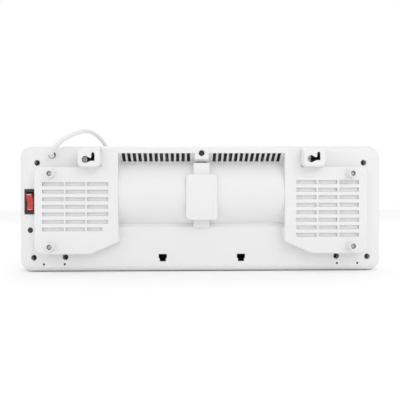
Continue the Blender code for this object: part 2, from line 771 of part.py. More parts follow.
def build_duct(kit):
    """Blower duct with its side plates and the two motor ribs."""
    bm = bmesh.new()
    add_prism_x(bm, duct_outline(), -120.6, 120.6)
    duct = kit.part(bm, "air_duct", kit.inner)
    bm = bmesh.new()
    for x0, x1 in ((-118.4, -22.6), (22.6, 118.4)):
        add_prism_x(bm, duct_hollow(), x0, x1)
    add_prism_x(bm, duct_hollow(), -20.6, 20.6)
    boolean(duct, kit.helper(bm, "duct_hollow"), "DIFFERENCE")
    bm = bmesh.new()
    for x in (-119.5, 119.5):
        add_rod_x(bm, FAN_Y, FAN_Z, 8.0, x - 4.0, x + 4.0, 18)
    add_rod_x(bm, FAN_Y, FAN_Z, 10.0, -24.0, 24.0, 18)
    add_box(bm, -116.0, 116.0, -56.0, -28.6, 15.0, 61.0)
    boolean(duct, kit.helper(bm, "duct_bores"), "DIFFERENCE")


def build_heater(kit):
    """PTC element with fins, its frame, thermostat and fuse."""
    bm = bmesh.new()
    add_prism_y(bm, rounded(-115.5, 115.5, 15.4, 60.6, 2.0, 2), -43.0, -31.0)
    frame = kit.part(bm, "ptc_frame", kit.black, (0.0, -37.0, 38.0))
    bm = bmesh.new()
    add_prism_y(bm, rounded(-110.5, 110.5, 19.0, 57.0, 1.5, 2), -50.0, -25.0)
    boolean(frame, kit.helper(bm, "ptc_window"), "DIFFERENCE")

    bm = bmesh.new()
    outline = [(-110.0, -34.0), (-110.0, -40.0)]
    pitch = 220.0 / 22
    for index in range(22):
        x = -110.0 + pitch * index
        outline += [(x + 3.0, -40.0), (x + 4.0, -37.6), (x + 6.0, -37.6), (x + 7.0, -40.0)]
    outline += [(110.0, -40.0), (110.0, -34.0)]
    add_prism_z(bm, outline, 19.6, 56.4)
    kit.part(bm, "ptc_element", kit.alloy, (0.0, -37.0, 38.0))

    bm = bmesh.new()
    add_rod_y(bm, 60.0, 38.0, 7.0, -33.5, -27.5, 18)
    kit.part(bm, "thermostat", kit.steel, (60.0, -30.5, 38.0))
    bm = bmesh.new()
    add_rod_x(bm, -31.0, 38.0, 2.2, -72.0, -52.0, 12)
    kit.part(bm, "thermal_fuse", kit.brass, (-62.0, -31.0, 38.0))


def build_outlet_grille(kit):
    """Finger guard between the heater and the louver."""
    bm = bmesh.new()
    add_prism_y(bm, rounded(-115.5, 115.5, 15.4, 60.6, 2.0, 2), -48.5, -45.5)
    grille = kit.part(bm, "outlet_grille", kit.black, (0.0, -47.0, 38.0))
    bm = bmesh.new()
    for index in range(16):
        x = -105.0 + 14.0 * index
        for z0, z1 in ((18.0, 37.0), (39.0, 58.0)):
            add_box(bm, x - 6.1, x + 6.1, -52.0, -42.0, z0, z1)
    boolean(grille, kit.helper(bm, "guard_openings"), "DIFFERENCE")


# ------------------------------------------------------------ electrics

def block(kit, name, material, x0, x1, y0, y1, z0, z1, edge=0.0):
    """Block part with optional rounded upright edges."""
    bm = bmesh.new()
    if edge:
        add_prism_y(bm, rounded(x0, x1, z0, z1, edge, 2), y0, y1)
    else:
        add_box(bm, x0, x1, y0, y1, z0, z1)
    return kit.part(bm, name, material, ((x0 + x1) / 2, (y0 + y1) / 2, (z0 + z1) / 2))


def build_electronics(kit):
    """Power board, display board, filters and the louver motor."""
    block(kit, "power_board", kit.board, 140.0, 234.0, -2.0, -0.4, 34.0, 138.0)
    block(kit, "relay_left", kit.black, 204.0, 223.0, -0.1, 15.0, 108.0, 124.0, 1.0)
    block(kit, "relay_right", kit.black, 180.0, 199.0, -0.1, 15.0, 108.0, 124.0, 1.0)
    block(kit, "transformer", kit.copper, 150.0, 176.0, -0.1, 22.0, 50.0, 78.0, 2.0)
    block(kit, "terminal_block", kit.inner, 184.0, 228.0, -0.1, 12.0, 42.0, 54.0, 0.8)
    bm = bmesh.new()
    add_rod_y(bm, 196.0, 80.0, 8.0, -0.1, 21.0, 18)
    kit.part(bm, "capacitor", kit.black, (196.0, 10.0, 80.0))

    block(kit, "display_board", kit.board, -44.0, 44.0, -44.5, -43.0, 106.0, 144.0)
    block(kit, "display_digits", kit.window, -19.5, 19.5, -57.6, -44.8, 118.5, 131.5)
    block(kit, "filter_left", kit.filter, 132.0, 233.0, 37.6, 39.6, 56.0, 136.0, 2.0)
    block(kit, "filter_right", kit.filter, -233.5, -137.0, 37.6, 39.6, 48.5, 136.4, 2.0)

    bm = bmesh.new()
    add_rod_x(bm, LOUVER_Y + 12.0, LOUVER_Z + 4.0, 10.0, -156.0, -138.0, 20)
    kit.part(bm, "louver_motor", kit.steel, (-147.0, LOUVER_Y + 12.0, LOUVER_Z + 4.0))


def build_rocker(kit):
    """Mains rocker switch on the drooping edge."""
    bm = bmesh.new()
    add_edge_box(bm, ROCKER, 18.8, 37.0, 0.0, 2.6)
    bezel = kit.part(bm, "switch_housing", kit.black, ROCKER)
    bm = bmesh.new()
    add_edge_box(bm, ROCKER, 14.2, 31.6, -13.0, 1.0)
    boolean(bezel, kit.helper(bm, "switch_body"), "UNION")
    bm = bmesh.new()
    add_edge_box(bm, ROCKER, 11.4, 28.0, -7.2, 6.0)
    boolean(bezel, kit.helper(bm, "switch_well"), "DIFFERENCE")

    rocking = Matrix.Rotation(math.radians(7.0), 4, "X")
    frame = edge_frame(ROCKER) @ rocking
    profile = ((-12.4, -2.4), (-12.4, 4.3), (0.0, 1.6), (12.4, 4.3), (12.4, -2.4), (0.0, -5.2))
    bm = bmesh.new()
    near = [bm.verts.new(frame @ (Vector((-5.2, y, z)) * MM)) for y, z in profile]
    far = [bm.verts.new(frame @ (Vector((5.2, y, z)) * MM)) for y, z in profile]
    for index in range(len(profile)):
        other = (index + 1) % len(profile)
        bm.faces.new((near[index], near[other], far[other], far[index]))
    bm.faces.new(near)
    bm.faces.new(far)
    kit.part(bm, "rocker", kit.red, ROCKER)


def build_mode_button(kit):
    """Small manual push button below the rocker and its contact."""
    bm = bmesh.new()
    add_edge_rod(bm, BUTTON, 3.8, -6.0, 0.9)
    button = kit.part(bm, "mode_button", kit.black, BUTTON)
    bm = bmesh.new()
    add_edge_rod(bm, BUTTON, 5.6, -6.4, -4.8)
    boolean(button, kit.helper(bm, "button_flange"), "UNION")

    bm = bmesh.new()
    add_edge_box(bm, BUTTON, 7.0, 7.0, -12.5, -8.2)
    kit.part(bm, "mode_contact", kit.black, BUTTON)


def build_screws(kit):
    """Casing screws and stand-off screws, each seated in its recess."""
    seats = []
    for index, (x, z) in enumerate(both_sides(RIM_SCREWS)):
        seats.append((f"casing_screw_{index + 1}", x, 10.3, z, 24.0))
    seats.append(("casing_screw_7", TOP_SCREW[0], 32.3, TOP_SCREW[1], 12.0))
    for index, (x, z) in enumerate(both_sides(STANDOFFS)):
        seats.append((f"standoff_screw_{index + 1}", x, 54.3, z, 30.0))
    for name, x, y, z, length in seats:
        bm = bmesh.new()
        add_rod_y(bm, x, z, 3.5, y, y + 2.4, 14, 2.9)
        screw = kit.part(bm, name, kit.screw, (x, y, z))
        bm = bmesh.new()
        add_rod_y(bm, x, z, 1.5, y - length, y + 1.0, 8)
        boolean(screw, kit.helper(bm, name + "_shank"), "UNION")
        bm = bmesh.new()
        add_box(bm, x - 1.7, x + 1.7, y + 1.4, y + 4.0, z - 0.4, z + 0.4)
        boolean(screw, kit.helper(bm, name + "_slot"), "DIFFERENCE")


# ------------------------------------------------------------------ cord

CORD_RADIUS = 3.0
COIL_CENTRE = (40.0, -128.0)
COIL_RADIUS = 33.0
CORD_ROUTE = (
    (220.6, 15.4, 171.6),
    (220.6, 28.0, 171.9),
    (219.0, 39.0, 174.6),
    (213.6, 46.5, 181.6),
    (205.3, 49.0, 189.6),
    (195.2, 47.5, 196.8),
    (183.6, 42.5, 203.2),
    (173.0, 33.0, 207.5),
    (165.7, 17.0, 208.4),
    (159.6, -2.0, 205.8),
    (155.1, -22.0, 200.9),
    (151.7, -42.0, 195.3),
    (149.7, -58.0, 188.0),
    (148.2, -68.5, 174.0),
    (146.8, -73.0, 153.9),
    (139.5, -73.5, 125.0),
    (138.0, -73.5, 84.0),
    (137.5, -74.0, 50.0),
    (135.0, -76.0, 28.0),
    (126.0, -82.0, 11.0),
    (108.0, -88.0, 4.2),
    (84.0, -91.4, 3.3),
    (62.0, -92.0, 3.3),
    (44.0, -92.0, 3.3),
)
TAIL_ROUTE = (
    (44.0, -158.0, 15.3),
    (60.0, -157.9, 15.0),
    (76.0, -156.2, 13.9),
    (92.0, -152.6, 14.8),
    (108.9, -150.0, 18.3),
)


def smooth_path(points, spacing):
    """Evenly spaced points on a Catmull-Rom curve through the given ones."""
    knots = [Vector(point) for point in points]
    knots = [2 * knots[0] - knots[1]] + knots + [2 * knots[-1] - knots[-2]]
    dense = []
    for index in range(1, len(knots) - 2):
        a, b, c, d = knots[index - 1:index + 3]
        for step in range(24):
            t = step / 24
            dense.append(0.5 * (2 * b + (c - a) * t + (2 * a - 5 * b + 4 * c - d) * t * t
                                + (3 * b - 3 * c + d - a) * t ** 3))
    dense.append(knots[-2])
    total = sum((q - p).length for p, q in zip(dense, dense[1:]))
    count = max(2, round(total / spacing))
    result = [dense[0]]
    walked, target = 0.0, total / count
    for p, q in zip(dense, dense[1:]):
        walked += (q - p).length
        while walked >= target - 1e-6 and len(result) < count:
            back = (walked - target) / max((q - p).length, 1e-9)
            result.append(q.lerp(p, back))
            target += total / count
    result.append(dense[-1])
    return result


def add_tube(kit, name, route, radius, spacing, material, resolution=2):
    """Round tube along a smooth route."""
    points = smooth_path(route, spacing)
    curve = bpy.data.curves.new(name + "_path", "CURVE")
    curve.dimensions = "3D"
    curve.bevel_depth = radius * MM
    curve.bevel_resolution = resolution
    curve.use_fill_caps = True
    spline = curve.splines.new("POLY")
    spline.points.add(len(points) - 1)
    for item, point in zip(spline.points, points):
        item.co = (*(point * MM), 1.0)
    helper = bpy.data.objects.new(name + "_path", curve)
    bpy.context.scene.collection.objects.link(helper)
    graph = bpy.context.evaluated_depsgraph_get()
    mesh = bpy.data.meshes.new_from_object(helper.evaluated_get(graph))
    bm = bmesh.new()
    bm.from_mesh(mesh)
    bmesh.ops.remove_doubles(bm, verts=bm.verts[:], dist=1e-6)
    bpy.data.objects.remove(helper, do_unlink=True)
    bpy.data.curves.remove(curve)
    bpy.data.meshes.remove(mesh)
    return kit.part(bm, name, material, tuple(points[0]))


def add_turned_ring(bm, x, y, z, radius, half_width, half_height, segments=28, edge=2.4):
    """Ring with a rounded rectangular section lying flat around z."""
    section = rounded(radius - half_width, radius + half_width, z - half_height, z + half_height, edge, 2)
    rings = []
    for step in range(segments):
        angle = math.tau * step / segments
        c, s = math.cos(angle), math.sin(angle)
        rings.append([bm.verts.new(((x + r * c) * MM, (y + r * s) * MM, h * MM)) for r, h in section])
    count = len(section)
    for step in range(segments):
        here, there = rings[step], rings[(step + 1) % segments]
        for index in range(count):
            other = (index + 1) % count
            bm.faces.new((here[index], here[other], there[other], there[index]))


def build_cord(kit):
    """Mains cord over the top to a neat coil and plug in front of the base."""
    add_tube(kit, "power_cord", CORD_ROUTE, CORD_RADIUS, 13.0, kit.cable)
    x, y = COIL_CENTRE
    bm = bmesh.new()
    add_turned_ring(bm, x, y, 9.3, COIL_RADIUS, 6.1, 9.0)
    coil = kit.part(bm, "cord_coil", kit.cable, (x, y, 9.3))
    bm = bmesh.new()
    add_box(bm, x - 6.0, x + 30.0, y + 32.0, y + 41.0, -2.0, 7.4)
    add_box(bm, x - 6.0, x + 30.0, y - 34.0, y - 24.0, 10.6, 22.0)
    boolean(coil, kit.helper(bm, "coil_entries"), "DIFFERENCE")

    bm = bmesh.new()
    add_box(bm, x - 42.0, x - 24.0, y - 4.0, y + 4.0, 0.0, 20.0)
    tie = kit.part(bm, "cord_tie", kit.black, (x - COIL_RADIUS, y, 9.3))
    bm = bmesh.new()
    add_box(bm, x - 39.6, x - 26.4, y - 9.0, y + 9.0, 0.1, 18.7)
    boolean(tie, kit.helper(bm, "tie_hollow"), "DIFFERENCE")

    add_tube(kit, "cord_tail", TAIL_ROUTE, CORD_RADIUS, 9.0, kit.cable)

    bm = bmesh.new()
    plug_y, plug_z = -150.0, 18.3
    add_rod_x(bm, plug_y, plug_z, 18.0, 130.0, 152.0, 24)
    body = kit.part(bm, "plug_body", kit.cable, (140.0, plug_y, plug_z))
    bm = bmesh.new()
    add_cylinder(bm, (122.0, plug_y, plug_z), (1.0, 0.0, 0.0), 6.5, 24.0, 20, 15.0)
    boolean(body, kit.helper(bm, "plug_neck"), "UNION")
    for name, offset in (("plug_pin_left", 9.5), ("plug_pin_right", -9.5)):
        bm = bmesh.new()
        add_rod_x(bm, plug_y + offset, plug_z, 2.4, 152.3, 171.3, 12)
        kit.part(bm, name, kit.brass, (152.3, plug_y + offset, plug_z))

    bm = bmesh.new()
    add_rod_y(bm, CORD_EXIT[0], CORD_EXIT[1], 7.0, 6.0, 15.0, 18)
    kit.part(bm, "cord_gland", kit.black, (CORD_EXIT[0], 10.0, CORD_EXIT[1]))


def main():
    """Build the whole heater."""
    clear_scene()
    kit = Kit()
    build_rear_shell(kit)
    build_front_shell(kit)
    build_front_trim(kit)
    build_louver(kit)
    build_duct(kit)
    build_fan_wheel(kit, "fan_wheel_left", 1.0)
    build_fan_wheel(kit, "fan_wheel_right", -1.0)
    build_motor(kit)
    build_motor_cover(kit)
    build_heater(kit)
    build_outlet_grille(kit)
    build_electronics(kit)
    build_rocker(kit)
    build_mode_button(kit)
    build_screws(kit)
    build_cord(kit)


main()
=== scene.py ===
"""Looks of the wall-mounted PTC fan heater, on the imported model's frame.

Lengths written below are in millimetres; the helpers turn them into metres.
The heater stands on its base with its rear, the side shown, facing +Y.
"""
import json
import math

import bmesh
import bpy
from mathutils import Matrix, Vector

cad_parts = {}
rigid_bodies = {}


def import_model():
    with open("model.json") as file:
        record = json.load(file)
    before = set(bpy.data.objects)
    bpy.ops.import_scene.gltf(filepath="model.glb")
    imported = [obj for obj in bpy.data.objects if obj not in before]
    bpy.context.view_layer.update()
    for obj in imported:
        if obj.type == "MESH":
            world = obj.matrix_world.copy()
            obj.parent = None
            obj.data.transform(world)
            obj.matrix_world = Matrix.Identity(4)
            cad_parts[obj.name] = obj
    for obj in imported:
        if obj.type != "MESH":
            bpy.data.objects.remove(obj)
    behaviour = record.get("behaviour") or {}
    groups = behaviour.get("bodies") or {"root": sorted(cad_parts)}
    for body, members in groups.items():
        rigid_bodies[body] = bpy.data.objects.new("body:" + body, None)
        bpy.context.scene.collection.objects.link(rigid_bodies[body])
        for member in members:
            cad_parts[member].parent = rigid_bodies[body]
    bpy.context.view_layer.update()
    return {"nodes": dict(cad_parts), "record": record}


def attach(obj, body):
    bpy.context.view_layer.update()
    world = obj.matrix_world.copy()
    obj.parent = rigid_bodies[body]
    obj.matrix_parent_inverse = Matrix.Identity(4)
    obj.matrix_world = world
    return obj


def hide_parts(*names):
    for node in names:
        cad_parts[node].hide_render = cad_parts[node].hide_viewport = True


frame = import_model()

MM = 0.001

# Overall casing
WIDTH = 540.0
HEIGHT = 187.0
CORNER = 18.0
WALL = 2.5

# Depth levels, front to rear
FRONT_FACE = -55.5
SPLIT = -5.0
RIM = 26.0
BOX_FACE = 43.0
PAD_FACE = 60.0
GAP = 0.3

# How far a cutter runs past the face that it opens
PAST = 4.0

# Fan scroll housing
FAN_Z = 117.0
SCROLL_Y = -20.4
SCROLL_R = 61.6
RECESS_X = 122.0

# Hinge line of the outlet louver
LOUVER_Y = -54.4
LOUVER_Z = 59.4

# Rear fasteners, right half (x, z)
RIM_SCREWS = ((242.8, 161.3), (247.7, 21.2), (201.3, 22.0))
STANDOFFS = ((218.6, 144.2), (218.6, 38.8))
TOP_SCREW = (0.0, 174.6)

# Radius of the holes round a casing screw's head, a stand-off screw's head and a shank
HEAD_HOLE = 4.4
STANDOFF_HOLE = 3.9
SHANK_HOLE = 1.9

# Hanging pads (x0, x1, z0), their shared top and corner radius
PADS = ((145.2, 179.5, 152.4), (-180.4, -145.0, 153.0))
PAD_TOP = 182.4
PAD_CORNER = 8.0

# Centre of the round entry of each hanging hole (x, z), and its radius
KEYHOLES = ((167.0, 164.4), (-157.6, 165.2))
ENTRY_RADIUS = 5.2

# Grille slots: columns (x0, x1), and rows as top z, pitch, half height, count
LEFT_COLUMNS = ((200.8, 231.8), (169.7, 198.1), (136.4, 166.9))
LEFT_ROWS = (129.4, 10.97, 2.75, 7)
RIGHT_COLUMNS = ((-168.4, -138.7), (-199.2, -171.3), (-231.0, -202.2))
RIGHT_ROWS = (131.8, 11.04, 2.85, 8)

# The last slot of the left grille's inner column starts later, beside the chamfer
SHORT_SLOT = (144.8, 166.9)

# Inlet slots above the scroll: first x, pitch, half width, count on each side
INLETS = (19.2, 7.95, 2.5, 13)

# Latch holes: middles (x), half widths of foot and head, heights of foot, step and top
LATCHES = (57.6, -58.6)
LATCH_HALVES = (4.6, 6.1)
LATCH_LEVELS = (15.0, 19.7, 26.0)

# Small drain holes on the left half (x, z)
DRAINS = ((233.0, 11.4), (202.3, 11.4))

# Opening over the fan motor (x0, x1, z0, z1)
MOTOR_OPENING = (-21.5, 21.5, 82.0, 139.0)

# Where the cord leaves the rear shell (x, z)
CORD_EXIT = (220.6, 171.6)

# Rocker and mode button on the drooping outer edge of the rear shell
ROCKER = (252.4, 24.2, 104.0)
BUTTON = (252.8, 24.7, 61.9)
EDGE_TILT = math.radians(19.0)
EDGE_AXIS = Vector((math.sin(EDGE_TILT), math.cos(EDGE_TILT), 0.0))

# Switch (width, height): seat and window in the shell, the housing's bezel, body and well
SWITCH_SEAT = (19.4, 37.6)
SWITCH_WINDOW = (14.8, 32.2)
SWITCH_BEZEL = (18.8, 37.0)
SWITCH_BODY = (14.2, 31.6)
SWITCH_WELL = (11.4, 28.0)

# Rocker: half width, half length, height at its ends and middle, tilt at rest
ROCKER_HALF = 5.2
ROCKER_REACH = 12.4
ROCKER_TIP = 4.3
ROCKER_DIP = 1.6
ROCKER_TILT = math.radians(7.0)

# Opening for the display's digits (x0, x1, z0, z1)
DIGITS = (-20.0, 20.0, 118.0, 132.0)

# Finer facets than the solids: segments of round shapes and of soft corners
ROUND = 3
SOFT = 7


# ------------------------------------------------------------- materials

class Nodes:
    """Small helper to build a shader tree."""

    def __init__(self, name):
        self.material = bpy.data.materials.new(name)
        self.material.use_nodes = True
        self.tree = self.material.node_tree
        self.shader = self.tree.nodes["Principled BSDF"]
        self.coords = self.tree.nodes.new("ShaderNodeTexCoord")

    def link(self, source, target):
        """Join two sockets."""
        self.tree.links.new(source, target)

    def noise(self, scale, detail=4.0, stretch=(1.0, 1.0, 1.0)):
        """Noise value in object space."""
        mapping = self.tree.nodes.new("ShaderNodeMapping")
        mapping.inputs["Scale"].default_value = stretch
        texture = self.tree.nodes.new("ShaderNodeTexNoise")
        texture.inputs["Scale"].default_value = scale
        texture.inputs["Detail"].default_value = detail
        self.link(self.coords.outputs["Object"], mapping.inputs["Vector"])
        self.link(mapping.outputs["Vector"], texture.inputs["Vector"])
        return texture.outputs["Fac"]

    def wave(self, direction, scale, distortion=0.0):
        """Texture of straight bands in object space."""
        texture = self.tree.nodes.new("ShaderNodeTexWave")
        texture.bands_direction = direction
        texture.inputs["Scale"].default_value = scale
        texture.inputs["Distortion"].default_value = distortion
        self.link(self.coords.outputs["Object"], texture.inputs["Vector"])
        return texture

    def drive(self, socket, source):
        """Feed a socket of the Principled shader."""
        self.link(source, self.shader.inputs[socket])

    def rough(self, value, low, high):
        """Roughness between two levels, following a value."""
        self.drive("Roughness", self.ramp(value, (low,) * 3, (high,) * 3))

    def ramp(self, value, low, high, start=0.3, end=0.7):
        """Map a value to a colour or grey between two stops."""
        node = self.tree.nodes.new("ShaderNodeValToRGB")
        node.color_ramp.elements[0].position = start
        node.color_ramp.elements[1].position = end
        node.color_ramp.elements[0].color = (*low, 1.0)
        node.color_ramp.elements[1].color = (*high, 1.0)
        self.link(value, node.inputs["Fac"])
        return node.outputs["Color"]

    def bump(self, value, strength, distance, normal=None):
        """Bump from a height value."""
        node = self.tree.nodes.new("ShaderNodeBump")
        node.inputs["Strength"].default_value = strength
        node.inputs["Distance"].default_value = distance
        self.link(value, node.inputs["Height"])
        if normal is not None:
            self.link(normal, node.inputs["Normal"])
        return node.outputs["Normal"]

    def set(self, **values):
        """Set constant sockets of the Principled shader."""
        names = {"metallic": "Metallic", "coat": "Coat Weight", "coat_rough": "Coat Roughness",
                 "specular": "Specular IOR Level"}
        for key, value in values.items():
            self.shader.inputs[names[key]].default_value = value


def scaled(colour, factor):
    """Darker or lighter version of a colour."""
    return tuple(min(channel * factor, 1.0) for channel in colour)


def moulded(name, colour, roughness, grain=0.05, vary=0.03, coat=0.0, scale=2600.0):
    """Injection-moulded plastic: fine spark texture, slow tone drift."""
    nodes = Nodes(name)
    nodes.drive("Base Color", nodes.ramp(nodes.noise(9.0, 3.0), scaled(colour, 1.0 - vary), colour))
    nodes.rough(nodes.noise(60.0, 5.0), roughness * 0.88, min(roughness * 1.14, 1.0))
    flow = nodes.bump(nodes.noise(24.0, 2.0), 0.08, 0.0004)
    nodes.drive("Normal", nodes.bump(nodes.noise(scale, 3.0), grain, 0.00008, flow))
    nodes.set(coat=coat, coat_rough=0.08, specular=0.5)
    return nodes.material


def metal(name, colour, roughness, stretch=(1.0, 1.0, 1.0)):
    """Plated or brushed metal with fine directional scratches."""
    nodes = Nodes(name)
    grain = nodes.noise(900.0, 4.0, stretch)
    nodes.drive("Base Color", nodes.ramp(nodes.noise(40.0), scaled(colour, 0.86), colour))
    nodes.rough(grain, roughness * 0.75, min(roughness * 1.3, 1.0))
    nodes.drive("Normal", nodes.bump(grain, 0.12, 0.00005))
    nodes.set(metallic=1.0)
    return nodes.material


def woven(name, colour):
    """Fine dust screen of crossed threads."""
    nodes = Nodes(name)
    join = nodes.tree.nodes.new("ShaderNodeMath")
    join.operation = "MAXIMUM"
    for index, direction in enumerate(("X", "Z")):
        nodes.link(nodes.wave(direction, 260.0, 0.3).outputs["Fac"], join.inputs[index])
    height = join.outputs["Value"]
    nodes.drive("Base Color", nodes.ramp(height, scaled(colour, 0.62), colour, 0.2, 0.8))
    nodes.rough(nodes.noise(80.0), 0.75, 0.95)
    nodes.drive("Normal", nodes.bump(height, 0.5, 0.0003))
    return nodes.material


def board_finish(name):
    """Green solder mask with faint copper tracks below it."""
    nodes = Nodes(name)
    cells = nodes.tree.nodes.new("ShaderNodeTexBrick")
    cells.inputs["Scale"].default_value = 90.0
    cells.inputs["Color1"].default_value = (0.02, 0.16, 0.06, 1.0)
    cells.inputs["Color2"].default_value = (0.03, 0.22, 0.08, 1.0)
    cells.inputs["Mortar"].default_value = (0.06, 0.3, 0.12, 1.0)
    nodes.link(nodes.coords.outputs["Object"], cells.inputs["Vector"])
    nodes.drive("Base Color", cells.outputs["Color"])
    nodes.rough(nodes.noise(120.0), 0.28, 0.42)
    nodes.drive("Normal", nodes.bump(cells.outputs["Fac"], 0.3, 0.0001))
    return nodes.material


def finned(name):
    """Aluminium heating fins: closely folded sheet in rows."""
    nodes = Nodes(name)
    wave = nodes.wave("X", 180.0)
    wave.wave_profile = "TRI"
    folds = wave.outputs["Fac"]
    # Base colour dark in the fold valleys and light on the ridges: painted shade and painted highlight of
    # the folds.
    nodes.drive("Base Color", nodes.ramp(folds, (0.25, 0.25, 0.26), (0.75, 0.75, 0.76), 0.2, 0.8))
    nodes.rough(nodes.noise(300.0), 0.28, 0.5)
    nodes.drive("Normal", nodes.bump(folds, 0.9, 0.0012))
    nodes.set(metallic=1.0)
    return nodes.material


def wound(name):
    """Enamelled copper wire laid side by side."""
    nodes = Nodes(name)
    turns = nodes.wave("X", 500.0, 1.2).outputs["Fac"]
    # Base colour dark between the wires and bright on their crowns: painted shade and painted highlight of
    # the turns.
    nodes.drive("Base Color", nodes.ramp(turns, (0.3, 0.1, 0.04), (0.72, 0.32, 0.14)))
    nodes.rough(nodes.noise(200.0), 0.2, 0.4)
    nodes.drive("Normal", nodes.bump(turns, 0.6, 0.0003))
    nodes.set(metallic=1.0)
    return nodes.material


# ---------------------------------------------------------------- studio

class Kit:
    """Materials, collections and the bookkeeping of finished pieces."""

    def __init__(self):
        self.parts = self.collection("looks")
        self.cutters = self.collection("cutters")
        self.pending = []
        self.white = moulded("casing_white_finish", (0.785, 0.785, 0.785), 0.42, 0.10, 0.015)
        self.gloss = moulded("fascia_white_finish", (0.79, 0.79, 0.79), 0.16, 0.01, 0.01, coat=0.6)
        self.inner = moulded("duct_grey_finish", (0.16, 0.165, 0.17), 0.5, 0.12, 0.1)
        self.black = moulded("black_plastic_finish", (0.022, 0.022, 0.024), 0.38, 0.12, 0.25)
        self.window = moulded("window_finish", (0.012, 0.012, 0.014), 0.07, 0.0, 0.2, coat=1.0)
        self.red = moulded("rocker_red_finish", (0.52, 0.02, 0.018), 0.2, 0.02, 0.12, coat=0.5)
        self.screw = metal("screw_finish", (0.13, 0.13, 0.135), 0.42)
        # Pale pink paint for the bars at the rocker's ends: painted highlights where the rounded ends
        # catch the light.
        self.mark = moulded("rocker_painted_highlight_finish", (0.52, 0.42, 0.42), 0.3, 0.02, 0.05)
        self.zinc = metal("zinc_screw_finish", (0.62, 0.62, 0.63), 0.36)
        self.steel = metal("bright_steel_finish", (0.6, 0.6, 0.62), 0.3, (1.0, 8.0, 8.0))
        self.brass = metal("pin_finish", (0.72, 0.68, 0.6), 0.25, (8.0, 1.0, 1.0))
        self.alloy = finned("fin_finish")
        self.board = board_finish("board_finish")
        self.rubber = moulded("rubber_finish", (0.03, 0.03, 0.03), 0.8, 0.2, 0.2)
        self.copper = wound("winding_finish")
        self.cable = moulded("cable_finish", (0.78, 0.78, 0.775), 0.46, 0.08, 0.03, scale=1500.0)
        self.filter = woven("filter_finish", (0.9, 0.9, 0.9))

    @staticmethod
    def collection(name):
        """Add a collection to the scene."""
        made = bpy.data.collections.new(name)
        bpy.context.scene.collection.children.link(made)
        return made

    def part(self, bm, name, material, origin=(0.0, 0.0, 0.0)):
        """Start the detailed piece that stands for a CAD node."""
        obj = finish(bm, name + "_look", self.parts, material, origin)
        self.pending.append((obj, name))
        return obj

    def helper(self, bm, name):
        """Shape that only serves Boolean modifiers."""
        return finish(bm, name, self.cutters)

    def settle(self, bodies):
        """Apply the modifiers, smooth, and put every piece on its body."""
        graph = bpy.context.evaluated_depsgraph_get()
        baked = [(obj, node, bpy.data.meshes.new_from_object(obj.evaluated_get(graph)))
                 for obj, node in self.pending]
        for obj, node, mesh in baked:
            obj.modifiers.clear()
            obj.data = mesh
            shade(obj)
            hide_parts(node)
            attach(obj, bodies[node])
        for obj in list(self.cutters.objects):
            bpy.data.objects.remove(obj, do_unlink=True)
        self.pending = []


def finish(bm, name, collection, material=None, origin=(0.0, 0.0, 0.0)):
    """Turn a bmesh into an object whose origin sits at a point."""
    bmesh.ops.recalc_face_normals(bm, faces=bm.faces[:])
    place = Vector(origin) * MM
    bmesh.ops.translate(bm, vec=-place, verts=bm.verts[:])
    mesh = bpy.data.meshes.new(name)
    bm.to_mesh(mesh)
    bm.free()
    obj = bpy.data.objects.new(name, mesh)
    obj.location = place
    collection.objects.link(obj)
    if material is not None:
        mesh.materials.append(material)
    return obj


def shade(obj, angle=26.0, width=0.45):
    """Smooth shading with small rounded edges."""
    obj.data.shade_smooth()
    obj.data.set_sharp_from_angle(angle=math.radians(angle))
    edge = obj.modifiers.new("edges", "BEVEL")
    edge.width = width * MM
    edge.segments = 2
    edge.limit_method = "ANGLE"
    edge.angle_limit = math.radians(38.0)
    edge.use_clamp_overlap = True
    edge.harden_normals = True


def boolean(target, tool, operation):
    """Add a Boolean modifier."""
    modifier = target.modifiers.new(tool.name, "BOOLEAN")
    modifier.operation = operation
    modifier.solver = "EXACT"
    modifier.object = tool


# -------------------------------------------------------------- geometry

def rounded(x0, x1, z0, z1, radius, steps=SOFT):
    """Outline of a rounded rectangle, counter-clockwise in (x, z)."""
    corners = (
        (x1 - radius, z0 + radius, -90.0),
        (x1 - radius, z1 - radius, 0.0),
        (x0 + radius, z1 - radius, 90.0),
        (x0 + radius, z0 + radius, 180.0),
    )
    points = []
    for cx, cz, start in corners:
        for step in range(steps + 1):
            angle = math.radians(start + 90.0 * step / steps)
            points.append((cx + radius * math.cos(angle), cz + radius * math.sin(angle)))
    return points


def soften(points, radius, steps=3):
    """Round every corner of a polygon by replacing it with a short curve."""
    result = []
    count = len(points)
    for index, corner in enumerate(points):
        corner = Vector(corner)
        before = Vector(points[index - 1]) - corner
        after = Vector(points[(index + 1) % count]) - corner
        reach = min(radius, before.length * 0.45, after.length * 0.45)
        start = corner + before.normalized() * reach
        end = corner + after.normalized() * reach
        for step in range(steps + 1):
            t = step / steps
            point = start * (1 - t) ** 2 + corner * 2 * t * (1 - t) + end * t ** 2
            result.append((point.x, point.y))
    return result


def inset(points, distance):
    """Move a counter-clockwise outline inward by a distance."""
    result = []
    count = len(points)
    for index, point in enumerate(points):
        here = Vector(point)
        back = here - Vector(points[index - 1])
        ahead = Vector(points[(index + 1) % count]) - here
        normal_a = Vector((-back.y, back.x)).normalized()
        normal_b = Vector((-ahead.y, ahead.x)).normalized()
        shift = (normal_a + normal_b) / (1.0 + normal_a.dot(normal_b))
        moved = here + shift * distance
        result.append((moved.x, moved.y))
    return result


def mirrored(points):
    """Mirror an outline to the other side of x = 0, keeping its winding."""
    return [(-x, z) for x, z in reversed(points)]


def bridge(bm, near, far):
    """Band of faces between two loops of equal length."""
    count = len(near)
    for index in range(count):
        other = (index + 1) % count
        bm.faces.new((near[index], near[other], far[other], far[index]))


def add_loft(bm, sections):
    """Closed solid through sections (y, outline in x and z) of equal length."""
    rings = []
    for y, outline in sections:
        rings.append([bm.verts.new((x * MM, y * MM, z * MM)) for x, z in outline])
    for lower, upper in zip(rings, rings[1:]):
        bridge(bm, lower, upper)
    bm.faces.new(rings[0])
    bm.faces.new(rings[-1])


